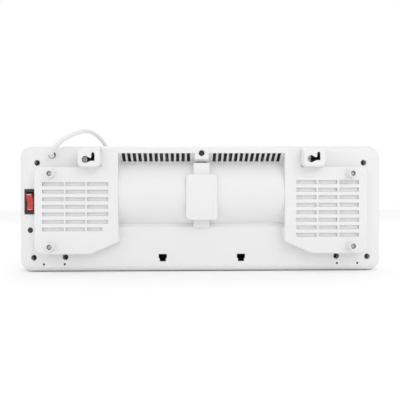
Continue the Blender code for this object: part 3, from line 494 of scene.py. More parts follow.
def add_prism_x(bm, profile, x0, x1):
    """Extrude a closed (y, z) profile along x."""
    near = [bm.verts.new((x0 * MM, y * MM, z * MM)) for y, z in profile]
    far = [bm.verts.new((x1 * MM, y * MM, z * MM)) for y, z in profile]
    bridge(bm, near, far)
    bm.faces.new(near)
    bm.faces.new(far)


def add_prism_y(bm, outline, y0, y1):
    """Extrude an (x, z) outline along y."""
    add_loft(bm, [(y0, outline), (y1, outline)])


def add_box(bm, x0, x1, y0, y1, z0, z1):
    """Axis-aligned block."""
    centre = Vector((x0 + x1, y0 + y1, z0 + z1)) * 0.5 * MM
    size = Vector((x1 - x0, y1 - y0, z1 - z0)) * MM
    matrix = Matrix.Translation(centre) @ Matrix.Diagonal((*size, 1.0))
    bmesh.ops.create_cube(bm, size=1.0, matrix=matrix)


def axis_matrix(centre, axis):
    """Place local z along an axis at a centre given in millimetres."""
    rotation = Vector((0, 0, 1)).rotation_difference(Vector(axis).normalized())
    return Matrix.Translation(Vector(centre) * MM) @ rotation.to_matrix().to_4x4()


def add_cylinder(bm, centre, axis, radius, length, segments=16, end_radius=None):
    """Cylinder or cone centred on a point."""
    end_radius = radius if end_radius is None else end_radius
    bmesh.ops.create_cone(
        bm,
        cap_ends=True,
        segments=segments * ROUND,
        radius1=radius * MM,
        radius2=end_radius * MM,
        depth=length * MM,
        matrix=axis_matrix(centre, axis),
    )


def add_rod_y(bm, x, z, radius, y0, y1, segments=16, end_radius=None):
    """Cylinder along y from y0 to y1; end_radius is the radius at y1."""
    add_cylinder(bm, (x, (y0 + y1) / 2, z), (0, 1, 0), radius, y1 - y0, segments, end_radius)


def add_rod_x(bm, y, z, radius, x0, x1, segments=16):
    """Cylinder along x from x0 to x1."""
    add_cylinder(bm, ((x0 + x1) / 2, y, z), (1, 0, 0), radius, x1 - x0, segments)


def scroll_arc(radius, z_start, z_end, steps=48):
    """Points (y, z) on the rear face of the fan scroll."""
    start = math.asin((z_start - FAN_Z) / radius)
    end = math.asin((z_end - FAN_Z) / radius)
    points = []
    for step in range(steps + 1):
        angle = start + (end - start) * step / steps
        points.append((SCROLL_Y + radius * math.cos(angle), FAN_Z + radius * math.sin(angle)))
    return points


def recess_profile(wall):
    """(y, z) outline of the open space behind the middle of the casing."""
    top = 175.4 + wall
    face = 100.0
    points = [(face, top), (BOX_FACE + 1.0 - wall * 0.4, top), (20.6 - wall, 164.2 + wall * 0.3)]
    points += scroll_arc(SCROLL_R - wall, 162.0, 71.0)
    points += [(RIM - wall, 66.0 + wall * 0.2), (RIM + 1.5, 66.0), (face, 66.0)]
    return points


def side_box_outline(distance):
    """Raised intake box on the right half, every side moved inward."""
    corners = (
        (RECESS_X - 2.3, 44.0),
        (162.0, 25.5),
        (245.0, 25.5),
        (245.0, 156.2),
        (148.0, 156.2),
        (148.0, 184.6),
        (RECESS_X - 2.3, 184.6),
    )
    radii = (2.0, 6.0, 16.0, 12.0, 3.0, 2.0, 2.0)
    corners = inset(corners, distance)
    points = []
    for index, radius in enumerate(radii):
        soft = soften(corners, max(radius - distance, 0.6), SOFT)
        points += soft[index * (SOFT + 1):(index + 1) * (SOFT + 1)]
    return points


def shrunk(x0, x1, z0, z1, radius, distance, steps=SOFT):
    """Rounded rectangle with every side moved inward."""
    return rounded(x0 + distance, x1 - distance, z0 + distance, z1 - distance,
                   max(radius - distance, 0.6), steps)


def add_rear_volume(kit, name, wall):
    """Rear casing as a solid block, every skin moved inward by wall."""
    bm = bmesh.new()
    front = SPLIT - (10.0 if wall else 0.0)
    levels = (
        (front, 0.0, 0.0),
        (13.0, 0.0, 0.0),
        (17.0, 1.5, 0.6),
        (21.5, 6.5, 2.2),
        (24.4, 13.0, 4.8),
        (RIM, 21.0, 8.5),
    )
    sections = []
    for y, dx, dz in levels:
        half = WIDTH / 2 - dx - wall
        radius = CORNER - wall - 0.35 * dz
        outline = rounded(-half, half, dz + wall, HEIGHT - dz - wall, radius)
        sections.append((y - (wall if y > 0 else 0.0), outline))
    add_loft(bm, sections)
    if wall:
        body = kit.helper(bm, name)
    else:
        body = kit.part(bm, name, kit.white)

    bm = bmesh.new()
    steps = ((4.0, 0.0), (RIM - 4.0, 0.0), (RIM + 2.0, 0.5), (39.5, 1.2), (42.2, 2.0), (BOX_FACE, 3.4))
    lofted = [(y - (wall if y > 5 else 0.0), side_box_outline(wall + d)) for y, d in steps]
    add_loft(bm, lofted)
    add_loft(bm, [(y, mirrored(outline)) for y, outline in lofted])
    boolean(body, kit.helper(bm, name + "_boxes"), "UNION")

    bm = bmesh.new()
    steps = ((4.4, 0.0), (39.5, 0.8), (42.2, 2.0), (BOX_FACE - 0.05, 4.2))
    half, foot = RECESS_X + 4.0, 72.0
    lofted = []
    for y, d in steps:
        top = 184.5 - wall - d
        outline = [(-half, foot), (half, foot), (half, top), (-half, top)]
        lofted.append((y - (wall if y > 5 else 0.0), outline))
    add_loft(bm, lofted)
    boolean(body, kit.helper(bm, name + "_middle"), "UNION")

    bm = bmesh.new()
    add_prism_x(bm, recess_profile(wall), -RECESS_X - wall, RECESS_X + wall)
    boolean(body, kit.helper(bm, name + "_recess"), "DIFFERENCE")

    bm = bmesh.new()
    steps = ((8.0, 0.0), (BOX_FACE + 3.0, 0.2), (57.2, 1.1), (59.2, 1.7), (PAD_FACE, 3.0))
    for x0, x1, z0 in PADS:
        lofted = []
        for y, d in steps:
            outline = shrunk(x0, x1, z0, PAD_TOP, PAD_CORNER, wall + d)
            lofted.append((y - (wall if y > 9 else 0.4), outline))
        add_loft(bm, lofted)
    boolean(body, kit.helper(bm, name + "_pads"), "UNION")
    return body


def both_sides(points):
    """Repeat (x, z) positions on the left half."""
    return [(sign * x, z) for x, z in points for sign in (1.0, -1.0)]


def add_screw_posts(kit):
    """Columns that carry the casing screws, inside the rear shell."""
    bm = bmesh.new()
    for x, z in both_sides(RIM_SCREWS):
        add_rod_y(bm, x, z, 5.7, -2.0, RIM - 1.2, 14)
    return kit.helper(bm, "rim_posts")


def add_standoff_posts(kit):
    """Raised feet that keep the intake grilles off the wall."""
    bm = bmesh.new()
    for x, z in both_sides(STANDOFFS):
        add_rod_y(bm, x, z, 9.6, 12.0, PAD_FACE, 18, 5.3)
    return kit.helper(bm, "standoff_posts")


def grille_slots():
    """(x0, x1, z0, z1) of every slot in the two side grilles."""
    left_last = LEFT_COLUMNS[:2] + (SHORT_SLOT,)
    slots = []
    for columns, last, rows in ((LEFT_COLUMNS, left_last, LEFT_ROWS),
                                (RIGHT_COLUMNS, RIGHT_COLUMNS, RIGHT_ROWS)):
        top, pitch, half, count = rows
        for row in range(count):
            z = top - pitch * row
            chosen = last if row == count - 1 else columns
            slots += [(x0, x1, z - half, z + half) for x0, x1 in chosen]
    return slots


def add_grille_cutter(kit):
    """All rectangular slots of the side grilles."""
    bm = bmesh.new()
    for x0, x1, z0, z1 in grille_slots():
        add_box(bm, x0, x1, BOX_FACE - 6.0, BOX_FACE + PAST, z0, z1)
    return kit.helper(bm, "grille_cutter")


def add_inlet_cutter(kit):
    """Fan inlet slots in the sloping wall above the scroll."""
    bm = bmesh.new()
    first, pitch, half, count = INLETS
    for side in (1.0, -1.0):
        for index in range(count):
            x = side * (first + pitch * index)
            add_box(bm, x - half, x + half, 10.0, BOX_FACE + 2.0, 163.6, 174.6)
    return kit.helper(bm, "inlet_cutter")


def add_keyholes(kit):
    """Hanging holes: round entry, sideways channel and upright slot."""
    tools = []
    bm = bmesh.new()
    for x, z in KEYHOLES:
        add_rod_y(bm, x, z, ENTRY_RADIUS, PAD_FACE - 8.0, PAD_FACE + PAST, 22)
    tools.append(kit.helper(bm, "keyhole_entries"))
    bm = bmesh.new()
    for x, z in KEYHOLES:
        y0, y1 = PAD_FACE - 8.1, PAD_FACE + 4.1
        add_prism_y(bm, (
            (x - 13.2, z - 2.1),
            (x - 7.6, z - 2.1),
            (x - 3.0, z - 4.0),
            (x, z - 3.0),
            (x, z + 3.0),
            (x - 3.0, z + 4.0),
            (x - 7.0, z + 2.1),
            (x - 8.5, z + 2.8),
            (x - 8.5, z + 8.0),
            (x - 9.3, z + 9.6),
            (x - 10.85, z + 10.3),
            (x - 12.4, z + 9.6),
            (x - 13.2, z + 8.0),
        ), y0, y1)
    tools.append(kit.helper(bm, "keyhole_slots"))
    return tools


def add_rear_holes(kit):
    """Screw recesses, latch holes, drain holes and the cord hole."""
    bm = bmesh.new()
    for x, z in both_sides(RIM_SCREWS):
        add_rod_y(bm, x, z, HEAD_HOLE, 10.0, RIM + PAST, 16)
    for x, z in both_sides(STANDOFFS):
        add_rod_y(bm, x, z, STANDOFF_HOLE, 54.0, PAD_FACE + PAST, 16)
    add_rod_y(bm, *TOP_SCREW, HEAD_HOLE, 32.0, BOX_FACE + PAST, 16)
    foot, head = LATCH_HALVES
    low, step, top = LATCH_LEVELS
    for x in LATCHES:
        add_prism_y(bm, (
            (x - foot, low),
            (x + foot, low),
            (x + foot, step),
            (x + head, step),
            (x + head, top),
            (x - head, top),
            (x - head, step),
            (x - foot, step),
        ), 15.0, RIM + PAST)
    for x, z in both_sides(DRAINS):
        add_rod_y(bm, x, z, 1.6, 8.0, RIM + PAST, 10)
    add_rod_y(bm, CORD_EXIT[0], CORD_EXIT[1] + 1.2, 5.3, 15.0, RIM + PAST, 18)
    return kit.helper(bm, "rear_holes")


def add_pilot_cutter(kit, name, y0, y1):
    """Clearance for the screw shanks."""
    bm = bmesh.new()
    for x, z in both_sides(RIM_SCREWS):
        add_rod_y(bm, x, z, SHANK_HOLE, y0, y1, 10)
    return kit.helper(bm, name)


def edge_frame(centre):
    """Local frame on the drooping edge: x across, y up, z outward."""
    outward = EDGE_AXIS
    upward = Vector((0.0, 0.0, 1.0))
    across = upward.cross(outward)
    rotation = Matrix((across, upward, outward)).transposed().to_4x4()
    return Matrix.Translation(Vector(centre) * MM) @ rotation


def add_edge_box(bm, centre, width, height, low, high):
    """Block standing on the drooping edge, low and high along its normal."""
    matrix = edge_frame(centre)
    matrix = matrix @ Matrix.Translation(Vector((0.0, 0.0, (low + high) / 2)) * MM)
    size = Vector((width, height, high - low)) * MM
    bmesh.ops.create_cube(bm, size=1.0, matrix=matrix @ Matrix.Diagonal((*size, 1.0)))


def add_edge_rod(bm, centre, radius, low, high, segments=18):
    """Round pin standing on the drooping edge."""
    matrix = edge_frame(centre)
    matrix = matrix @ Matrix.Translation(Vector((0.0, 0.0, (low + high) / 2)) * MM)
    bmesh.ops.create_cone(
        bm,
        cap_ends=True,
        segments=segments,
        radius1=radius * MM,
        radius2=radius * MM,
        depth=(high - low) * MM,
        matrix=matrix,
    )


def build_rear_shell(kit):
    """Rear casing with grilles, scroll, hanging pads and screw recesses."""
    shell = add_rear_volume(kit, "rear_shell", 0.0)
    cavity = add_rear_volume(kit, "rear_cavity", WALL)
    boolean(shell, cavity, "DIFFERENCE")
    boolean(shell, add_screw_posts(kit), "UNION")
    boolean(shell, add_standoff_posts(kit), "UNION")

    bm = bmesh.new()
    add_prism_x(bm, ((18.0, 162.4), (18.0, 181.0), (BOX_FACE - 0.6, 181.0), (BOX_FACE - 0.6, 166.4),
                     (34.0, 162.4)), -10.2, 10.2)
    boolean(shell, kit.helper(bm, "top_boss"), "UNION")

    boolean(shell, add_grille_cutter(kit), "DIFFERENCE")
    boolean(shell, add_inlet_cutter(kit), "DIFFERENCE")
    for tool in add_keyholes(kit):
        boolean(shell, tool, "DIFFERENCE")
    boolean(shell, add_rear_holes(kit), "DIFFERENCE")
    boolean(shell, add_pilot_cutter(kit, "rear_pilots", -4.0, 12.0), "DIFFERENCE")

    bm = bmesh.new()
    for x, z in both_sides(STANDOFFS):
        add_rod_y(bm, x, z, SHANK_HOLE, 8.0, 56.0, 10)
    add_rod_y(bm, *TOP_SCREW, SHANK_HOLE, 12.0, 34.0, 10)
    add_edge_box(bm, ROCKER, *SWITCH_WINDOW, -14.0, 8.0)
    add_edge_rod(bm, BUTTON, 4.2, -9.0, 8.0)
    add_box(bm, *MOTOR_OPENING[:2], 15.0, 70.0, *MOTOR_OPENING[2:])
    boolean(shell, kit.helper(bm, "rear_windows"), "DIFFERENCE")

    bm = bmesh.new()
    add_edge_box(bm, ROCKER, *SWITCH_SEAT, -0.3, 9.0)
    boolean(shell, kit.helper(bm, "rocker_seat"), "DIFFERENCE")
    return shell


def add_front_volume(kit, name, wall):
    """Front casing as a solid block, every skin moved inward by wall."""
    bm = bmesh.new()
    outline = rounded(-WIDTH / 2, WIDTH / 2, 0.0, HEIGHT, CORNER)
    rear = SPLIT - GAP + (10.0 if wall else 0.0)
    steps = ((rear, 0.0), (-44.0, 0.0), (-50.0, 1.6), (-54.2, 5.2), (FRONT_FACE, 9.5))
    add_loft(bm, [(y + (wall if y < -10 else 0.0), inset(outline, wall + d)) for y, d in steps])
    if wall:
        return kit.helper(bm, name)
    return kit.part(bm, name, kit.white)


def build_front_shell(kit):
    """Front casing with the outlet mouth and the louver lugs."""
    shell = add_front_volume(kit, "front_shell", 0.0)
    boolean(shell, add_front_volume(kit, "front_cavity", WALL), "DIFFERENCE")

    bm = bmesh.new()
    for x, z in both_sides(RIM_SCREWS):
        add_rod_y(bm, x, z, 4.6, FRONT_FACE + 1.5, SPLIT + 2.4, 14)
    boolean(shell, kit.helper(bm, "front_posts"), "UNION")
    boolean(shell, add_pilot_cutter(kit, "front_pilots", -30.0, SPLIT + 8.0), "DIFFERENCE")

    bm = bmesh.new()
    for side in (1.0, -1.0):
        x0, x1 = sorted((side * 129.5, side * 133.5))
        add_box(bm, x0, x1, FRONT_FACE + 1.0, LOUVER_Y + 5.0, LOUVER_Z - 6.0, LOUVER_Z + 6.0)
    boolean(shell, kit.helper(bm, "louver_lugs"), "UNION")

    bm = bmesh.new()
    outline = rounded(-128.5, 128.5, 13.5, 62.4, 2.5)
    add_prism_y(bm, outline, FRONT_FACE - 6.0, FRONT_FACE + 5.0)
    add_box(bm, *DIGITS[:2], FRONT_FACE - PAST, FRONT_FACE + 5.0, *DIGITS[2:])
    boolean(shell, kit.helper(bm, "front_mouth"), "DIFFERENCE")

    bm = bmesh.new()
    add_rod_x(bm, LOUVER_Y, LOUVER_Z, 1.9, -140.0, 140.0, 12)
    boolean(shell, kit.helper(bm, "louver_bore"), "DIFFERENCE")
    return shell


def build_front_trim(kit):
    """Glossy fascia with its display window."""
    bm = bmesh.new()
    outline = rounded(-258.0, 258.0, 68.0, 175.0, 10.0)
    y = FRONT_FACE - GAP
    steps = ((y, 0.0), (y - 2.6, 0.0), (y - 3.8, 1.0), (y - 4.2, 2.8))
    add_loft(bm, [(level, inset(outline, d)) for level, d in steps])
    fascia = kit.part(bm, "front_fascia", kit.gloss)
    bm = bmesh.new()
    add_prism_y(bm, rounded(-34.3, 34.3, 111.7, 138.3, 4.3), y - 8.0, y - 1.6)
    boolean(fascia, kit.helper(bm, "window_seat"), "DIFFERENCE")
    bm = bmesh.new()
    add_box(bm, *DIGITS[:2], y - PAST, y + 2.0, *DIGITS[2:])
    boolean(fascia, kit.helper(bm, "digit_window"), "DIFFERENCE")

    bm = bmesh.new()
    add_prism_y(bm, rounded(-34.0, 34.0, 112.0, 138.0, 4.0), y - 4.2, y - 1.9)
    kit.part(bm, "display_window", kit.window)


def build_louver(kit):
    """Outlet flap hanging from pins at its upper edge."""
    bm = bmesh.new()
    steps = 6
    outer = [step / steps for step in range(steps + 1)]
    inner = [1 - t for t in outer]
    bow, drop = 2.6, 44.2
    profile = [(LOUVER_Y - 1.4 - bow * math.sin(math.pi * t), LOUVER_Z + 1.0 - drop * t) for t in outer]
    profile += [(LOUVER_Y + 1.2 - bow * math.sin(math.pi * t), LOUVER_Z + 1.0 - drop * t) for t in inner]
    add_prism_x(bm, profile, -127.6, 127.6)
    louver = kit.part(bm, "louver", kit.white, (0.0, LOUVER_Y, LOUVER_Z))
    bm = bmesh.new()
    add_rod_x(bm, 0.0, 0.0, 1.5, -137.0, 137.0, 12)
    pins = kit.helper(bm, "louver_pins")
    pins.location = louver.location
    boolean(louver, pins, "UNION")


def build_motor_cover(kit):
    """Cap over the motor opening, with its neck and lower tab."""
    bm = bmesh.new()
    outline = rounded(-23.2, 23.2, 76.6, 144.0, 6.0)
    steps = ((41.8, 0.0), (43.6, 0.0), (45.0, 0.7), (45.6, 2.2))
    lofted = [(y, inset(outline, d)) for y, d in steps]
    add_loft(bm, [(28.0, inset(outline, -0.4))] + lofted)
    cover = kit.part(bm, "motor_cover", kit.white, (0.0, 40.0, 112.0))

    bm = bmesh.new()
    for z0, z1, y0, y1 in ((140.0, 160.6, 20.0, 40.0), (65.0, 80.0, 18.0, 30.5)):
        outline = rounded(-12.1, 12.1, z0, z1, 2.0)
        add_loft(bm, [(y0, outline), (y1 - 1.2, outline), (y1, inset(outline, 1.2))])
    boolean(cover, kit.helper(bm, "cover_tabs"), "UNION")

    bm = bmesh.new()
    profile = [(-20.0, 30.0), (RIM + GAP, 30.0), (RIM + GAP, 66.4)]
    profile += scroll_arc(SCROLL_R + GAP, 71.6, 168.0, 60)
    profile += [(-20.0, 190.0)]
    add_prism_x(bm, profile, -40.0, 40.0)
    boolean(cover, kit.helper(bm, "cover_scroll"), "DIFFERENCE")

    bm = bmesh.new()
    outline = rounded(-21.6, 21.6, *MOTOR_OPENING[2:], 4.0)
    add_loft(bm, [(20.0, outline), (43.2, outline)])
    boolean(cover, kit.helper(bm, "cover_hollow"), "DIFFERENCE")


def build_switch_housing(kit):
    """Bezel and body of the mains switch, with a well for the rocker."""
    bm = bmesh.new()
    add_edge_box(bm, ROCKER, *SWITCH_BEZEL, 0.0, 2.6)
    bezel = kit.part(bm, "switch_housing", kit.black, ROCKER)
    bm = bmesh.new()
    add_edge_box(bm, ROCKER, *SWITCH_BODY, -13.0, 1.0)
    boolean(bezel, kit.helper(bm, "switch_body"), "UNION")
    bm = bmesh.new()
    add_edge_box(bm, ROCKER, *SWITCH_WELL, -7.2, 6.0)
    boolean(bezel, kit.helper(bm, "switch_well"), "DIFFERENCE")


def rocker_prism(profile, half_width):
    """Prism across the rocker, from a (along, outward) profile."""
    place = edge_frame(ROCKER) @ Matrix.Rotation(ROCKER_TILT, 4, "X")
    bm = bmesh.new()
    ends = [[bm.verts.new(place @ (Vector((x, y, z)) * MM)) for y, z in profile]
            for x in (-half_width, half_width)]
    bridge(bm, *ends)
    for end in ends:
        bm.faces.new(end)
    return bm


def build_rocker(kit):
    """Red rocker, dished between its two ends, with a pale painted highlight near each end."""
    ends = ROCKER_REACH
    profile = ((-ends, -2.4), (-ends, ROCKER_TIP), (0.0, ROCKER_DIP), (ends, ROCKER_TIP), (ends, -2.4),
               (0.0, -5.2))
    kit.part(rocker_prism(profile, ROCKER_HALF), "rocker", kit.red, ROCKER)

    # Thin pale bars on the rocker's face near both ends: painted highlights of the rounded ends.
    end_highlights = (("highlight_upper_end", 10.9, 3.2, 0.8), ("highlight_lower_end", -11.2, 2.6, 0.45))
    for name, along, half_width, half_height in end_highlights:
        y0, y1 = along - half_height, along + half_height
        z0, z1 = [ROCKER_DIP + (ROCKER_TIP - ROCKER_DIP) * abs(y) / ROCKER_REACH for y in (y0, y1)]
        corners = ((y0, z0 - 0.3), (y1, z1 - 0.3), (y1, z1 + 0.08), (y0, z0 + 0.08))
        mark = finish(rocker_prism(corners, half_width), "rocker_" + name, kit.parts, kit.mark)
        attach(mark, "rocker")


def build_keyhole_guides(kit):
    """Inner plates that hold a wall screw's head close behind each hanging pad."""
    for (x, z), side_wall, name in zip(KEYHOLES, (177.0, -147.5), ("left", "right")):
        bm = bmesh.new()
        outline = rounded(x - 1.4, side_wall, z - 9.0, z + 9.0, 1.0)
        add_loft(bm, [(47.6, outline), (49.6, outline), (50.0, inset(outline, 0.4))])
        guide = finish(bm, "keyhole_guide_" + name, kit.parts, kit.white)
        shade(guide)
        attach(guide, "casing")


def build_mode_button(kit):
    """Small manual push button below the rocker and its contact."""
    bm = bmesh.new()
    add_edge_rod(bm, BUTTON, 3.8, -6.0, 0.9)
    button = kit.part(bm, "mode_button", kit.black, BUTTON)
    bm = bmesh.new()
    add_edge_rod(bm, BUTTON, 5.6, -6.4, -4.8)
    boolean(button, kit.helper(bm, "button_flange"), "UNION")

    bm = bmesh.new()
    add_edge_box(bm, BUTTON, 7.0, 7.0, -12.5, -8.2)
    kit.part(bm, "mode_contact", kit.black, BUTTON)


def ring(x, z, radius, count=32):
    """Round outline in the (x, z) plane."""
    turns = [math.tau * step / count for step in range(count)]
    return [(x + radius * math.cos(turn), z + radius * math.sin(turn)) for turn in turns]


def screw_seats():
    """(name, x, y, z, length) of every screw, y being the underside of its head."""
    seats = []
    for index, (x, z) in enumerate(both_sides(RIM_SCREWS)):
        seats.append((f"casing_screw_{index + 1}", x, 10.3, z, 24.0))
    seats.append(("casing_screw_7", TOP_SCREW[0], 32.3, TOP_SCREW[1], 12.0))
    for index, (x, z) in enumerate(both_sides(STANDOFFS)):
        seats.append((f"standoff_screw_{index + 1}", x, 54.3, z, 30.0))
    return seats


def build_screws(kit):
    """Casing screws and stand-off screws, each seated in its recess."""
    arm, groove = 1.9, 0.42
    for name, x, y, z, length in screw_seats():
        bm = bmesh.new()
        head = ((0.0, 3.5), (1.2, 3.5), (1.8, 3.2), (2.2, 2.6), (2.4, 1.9))
        add_loft(bm, [(y + step, ring(x, z, radius)) for step, radius in head])
        material = kit.zinc if name.startswith("standoff") else kit.screw
        screw = kit.part(bm, name, material, (x, y, z))
        bm = bmesh.new()
        add_rod_y(bm, x, z, 1.5, y - length, y + 1.0, 8)
        boolean(screw, kit.helper(bm, name + "_shank"), "UNION")
        bm = bmesh.new()
        add_box(bm, x - arm, x + arm, y + 1.2, y + 4.0, z - groove, z + groove)
        boolean(screw, kit.helper(bm, name + "_slot"), "DIFFERENCE")
        bm = bmesh.new()
        add_box(bm, x - groove, x + groove, y + 1.21, y + 4.1, z - arm, z + arm)
        boolean(screw, kit.helper(bm, name + "_cross"), "DIFFERENCE")


# ------------------------------------------------------------------ cord

CORD_RADIUS = 3.0
COIL_CENTRE = (40.0, -128.0)
COIL_RADIUS = 33.0

# Middle of the plug's neck end, and its pins
PLUG_START = (110.3, -150.0, 18.3)
PIN_OFFSET = 9.5
PIN_RADIUS = 2.35

# The cord from the shell over the top to the coil, and from the coil to the plug
CORD_ROUTE = (
    (220.6, 15.4, 171.6),
    (220.6, 28.0, 171.9),
    (219.0, 39.0, 174.6),
    (213.6, 46.5, 181.6),
    (205.3, 49.0, 189.6),
    (195.2, 47.5, 196.8),
    (183.6, 42.5, 203.2),
    (173.0, 33.0, 207.5),
    (165.7, 17.0, 208.4),
    (159.6, -2.0, 205.8),
    (155.1, -22.0, 200.9),
    (151.7, -42.0, 195.3),
    (149.7, -58.0, 188.0),
    (148.2, -68.5, 174.0),
    (146.8, -73.0, 153.9),
    (139.5, -73.5, 125.0),
    (138.0, -73.5, 84.0),
    (137.5, -74.0, 50.0),
    (135.0, -76.0, 28.0),
    (126.0, -82.0, 11.0),
    (108.0, -88.0, 4.2),
    (84.0, -91.4, 3.3),
    (62.0, -92.0, 3.3),
    (44.0, -92.0, 3.3),
)
TAIL_ROUTE = (
    (44.0, -158.0, 15.3),
    (60.0, -157.9, 15.0),
    (76.0, -156.2, 13.9),
    (92.0, -152.6, 14.8),
    (108.9, -150.0, 18.3),
)


def smooth_path(points, spacing):
    """Evenly spaced points on a Catmull-Rom curve through the given ones."""
    knots = [Vector(point) for point in points]
    knots = [2 * knots[0] - knots[1]] + knots + [2 * knots[-1] - knots[-2]]
    dense = []
    for index in range(1, len(knots) - 2):
        a, b, c, d = knots[index - 1:index + 3]
        for step in range(24):
            t = step / 24
            dense.append(0.5 * (2 * b + (c - a) * t + (2 * a - 5 * b + 4 * c - d) * t * t
                                + (3 * b - 3 * c + d - a) * t ** 3))
    dense.append(knots[-2])
    total = sum((q - p).length for p, q in zip(dense, dense[1:]))
    count = max(2, round(total / spacing))
    result = [dense[0]]
    walked, target = 0.0, total / count
    for p, q in zip(dense, dense[1:]):
        walked += (q - p).length
        while walked >= target - 1e-6 and len(result) < count:
            back = (walked - target) / max((q - p).length, 1e-9)
            result.append(q.lerp(p, back))
            target += total / count
    result.append(dense[-1])
    return result


def coil_path():
    """Turns of the spare cord, side by side and in layers, from route to tail."""
    x, y = COIL_CENTRE
    layers = ((36.0, 3.3), (30.0, 3.3), (30.0, 9.2), (36.0, 9.2), (36.0, 15.2), (30.0, 15.3), (30.0, 15.3))
    points = []
    steps = 24
    for index in range(1, int(5.5 * steps)):
        turn = index / steps
        here = layers[int(turn)]
        after = layers[int(turn) + 1]
        blend = max(0.0, (turn % 1.0 - 0.82) / 0.18)
        blend = blend * blend * (3.0 - 2.0 * blend)
        radius = here[0] + (after[0] - here[0]) * blend
        height = here[1] + (after[1] - here[1]) * blend
        angle = math.tau * (0.25 + turn)
        points.append((x + radius * math.cos(angle), y + radius * math.sin(angle), height))
    return points


def tube_along(points, radii, segments=20):
    """Mesh tube whose radius follows a list, one value for each point."""
    bm = bmesh.new()
    rings = []
    side = Vector((0.0, 0.0, 1.0))
    for index, point in enumerate(points):
        ahead = points[min(index + 1, len(points) - 1)] - points[max(index - 1, 0)]
        ahead.normalize()
        side = side - ahead * side.dot(ahead)
        if side.length < 1e-4:
            side = ahead.orthogonal()
        side.normalize()
        other = ahead.cross(side)
        loop = []
        for step in range(segments):
            angle = math.tau * step / segments
            offset = side * math.cos(angle) + other * math.sin(angle)
            loop.append(bm.verts.new((point + offset * radii[index]) * MM))
        rings.append(loop)
    for near, far in zip(rings, rings[1:]):
        bridge(bm, near, far)
    bm.faces.new(rings[0])
    bm.faces.new(rings[-1])
    return bm


def build_cord(kit):
    """Mains cord with its coil, tie and plug."""
    whole = list(CORD_ROUTE) + coil_path() + list(TAIL_ROUTE)
    points = smooth_path(whole, 3.0)
    bm = tube_along(points, [CORD_RADIUS] * len(points))
    cord = finish(bm, "mains_cord", kit.parts, kit.cable)
    cord.data.shade_smooth()
    cord.data.set_sharp_from_angle(angle=math.radians(50.0))

    tie = build_tie(kit)
    boot = build_boot(kit)
    plug, pins = build_plug(kit)
    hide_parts("power_cord", "cord_coil", "cord_tail")
    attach(cord, "casing")
    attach(boot, "casing")


def build_boot(kit):
    """Tapered strain relief where the cord leaves the shell."""
    points = smooth_path(CORD_ROUTE[:7], 1.0)[9:54]
    radii = []
    for index in range(len(points)):
        taper = 3.85 - 0.65 * index / (len(points) - 1)
        radii.append(taper - (0.2 if index % 5 == 4 else 0.0))
    bm = tube_along(points, radii, 28)
    boot = finish(bm, "cord_boot", kit.parts, kit.cable)
    boot.data.shade_smooth()
    return boot


def build_tie(kit):
    """Plain strap round one side of the coil."""
    x, y = COIL_CENTRE
    x -= COIL_RADIUS
    bm = bmesh.new()
    outer, inner = [shrunk(x - 8.6, x + 8.6, 0.1, 19.4, 3.0, thick, 5) for thick in (0.0, 1.6)]
    y0, y1 = y - 3.6, y + 3.6
    rings = []
    for level, outline in ((y0, outer), (y1, outer), (y1, inner), (y0, inner)):
        rings.append([bm.verts.new((px * MM, level * MM, pz * MM)) for px, pz in outline])
    for index in range(4):
        bridge(bm, rings[index], rings[(index + 1) % 4])
    tie = finish(bm, "cord_tie_look", kit.parts, kit.black)
    shade(tie, 30.0, 0.3)
    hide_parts("cord_tie")
    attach(tie, "casing")
    return tie


def plug_profile():
    """(radius, distance along) of the plug: ribbed neck, flare and grip."""
    profile = [(0.0, 0.0), (4.2, 0.0), (4.6, 0.5), (4.8, 2.0)]
    for index in range(4):
        x = 3.0 + 2.6 * index
        profile += [(5.0 + 0.5 * index, x), (5.0 + 0.5 * index, x + 1.4),
                    (4.4 + 0.5 * index, x + 1.6), (4.4 + 0.5 * index, x + 2.4)]
    profile += [(8.0, 14.0), (11.5, 17.5), (15.0, 20.0), (16.6, 21.0)]
    for index in range(5):
        x = 22.0 + 2.4 * index
        profile += [(17.6, x), (17.6, x + 1.3), (17.0, x + 1.6), (17.0, x + 2.1)]
    return profile + [(17.7, 34.4), (17.7, 40.6), (17.0, 41.6), (0.0, 41.6)]


def turned_x(start, profile, segments=64):
    """Solid of revolution along x, its profile closed at both ends."""
    x, y, z = start
    bm = bmesh.new()
    rings = []
    for radius, along in profile:
        turns = [math.tau * step / segments for step in range(segments if radius else 1)]
        rings.append([bm.verts.new(((x + along) * MM, (y + radius * math.cos(turn)) * MM,
                                    (z + radius * math.sin(turn)) * MM)) for turn in turns])
    for near, far in zip(rings, rings[1:]):
        for step in range(segments):
            other = (step + 1) % segments
            if len(near) == 1:
                bm.faces.new((near[0], far[other], far[step]))
            elif len(far) == 1:
                bm.faces.new((near[step], near[other], far[0]))
            else:
                bm.faces.new((near[step], near[other], far[other], far[step]))
    return bm


def build_plug(kit):
    """Two-pin plug at the far end of the cord."""
    plug = finish(turned_x(PLUG_START, plug_profile()), "plug_body_look", kit.parts, kit.cable)
    shade(plug, 30.0, 0.2)
    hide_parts("plug_body")
    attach(plug, "casing")
    pins = []
    for name, offset in (("plug_pin_left", PIN_OFFSET), ("plug_pin_right", -PIN_OFFSET)):
        y, z = PLUG_START[1] + offset, PLUG_START[2]
        bm = bmesh.new()
        add_rod_x(bm, y, z, PIN_RADIUS, 152.4, 169.6, 12)
        add_cylinder(bm, (170.3, y, z), (1.0, 0.0, 0.0), PIN_RADIUS, 1.4, 12, 1.2)
        bmesh.ops.remove_doubles(bm, verts=bm.verts[:], dist=1e-7)
        pin = finish(bm, name + "_look", kit.parts, kit.brass)
        shade(pin, 30.0, 0.2)
        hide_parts(name)
        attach(pin, "casing")
        pins.append(pin)
    return plug, pins


# ---------------------------------------------------------- camera, light

# Metres and degrees
CAMERA_PLACE = (0.028, 1.013, 0.106)
CAMERA_TURN = (90.0, 0.12, 178.5)
FOCAL_LENGTH = 59.8

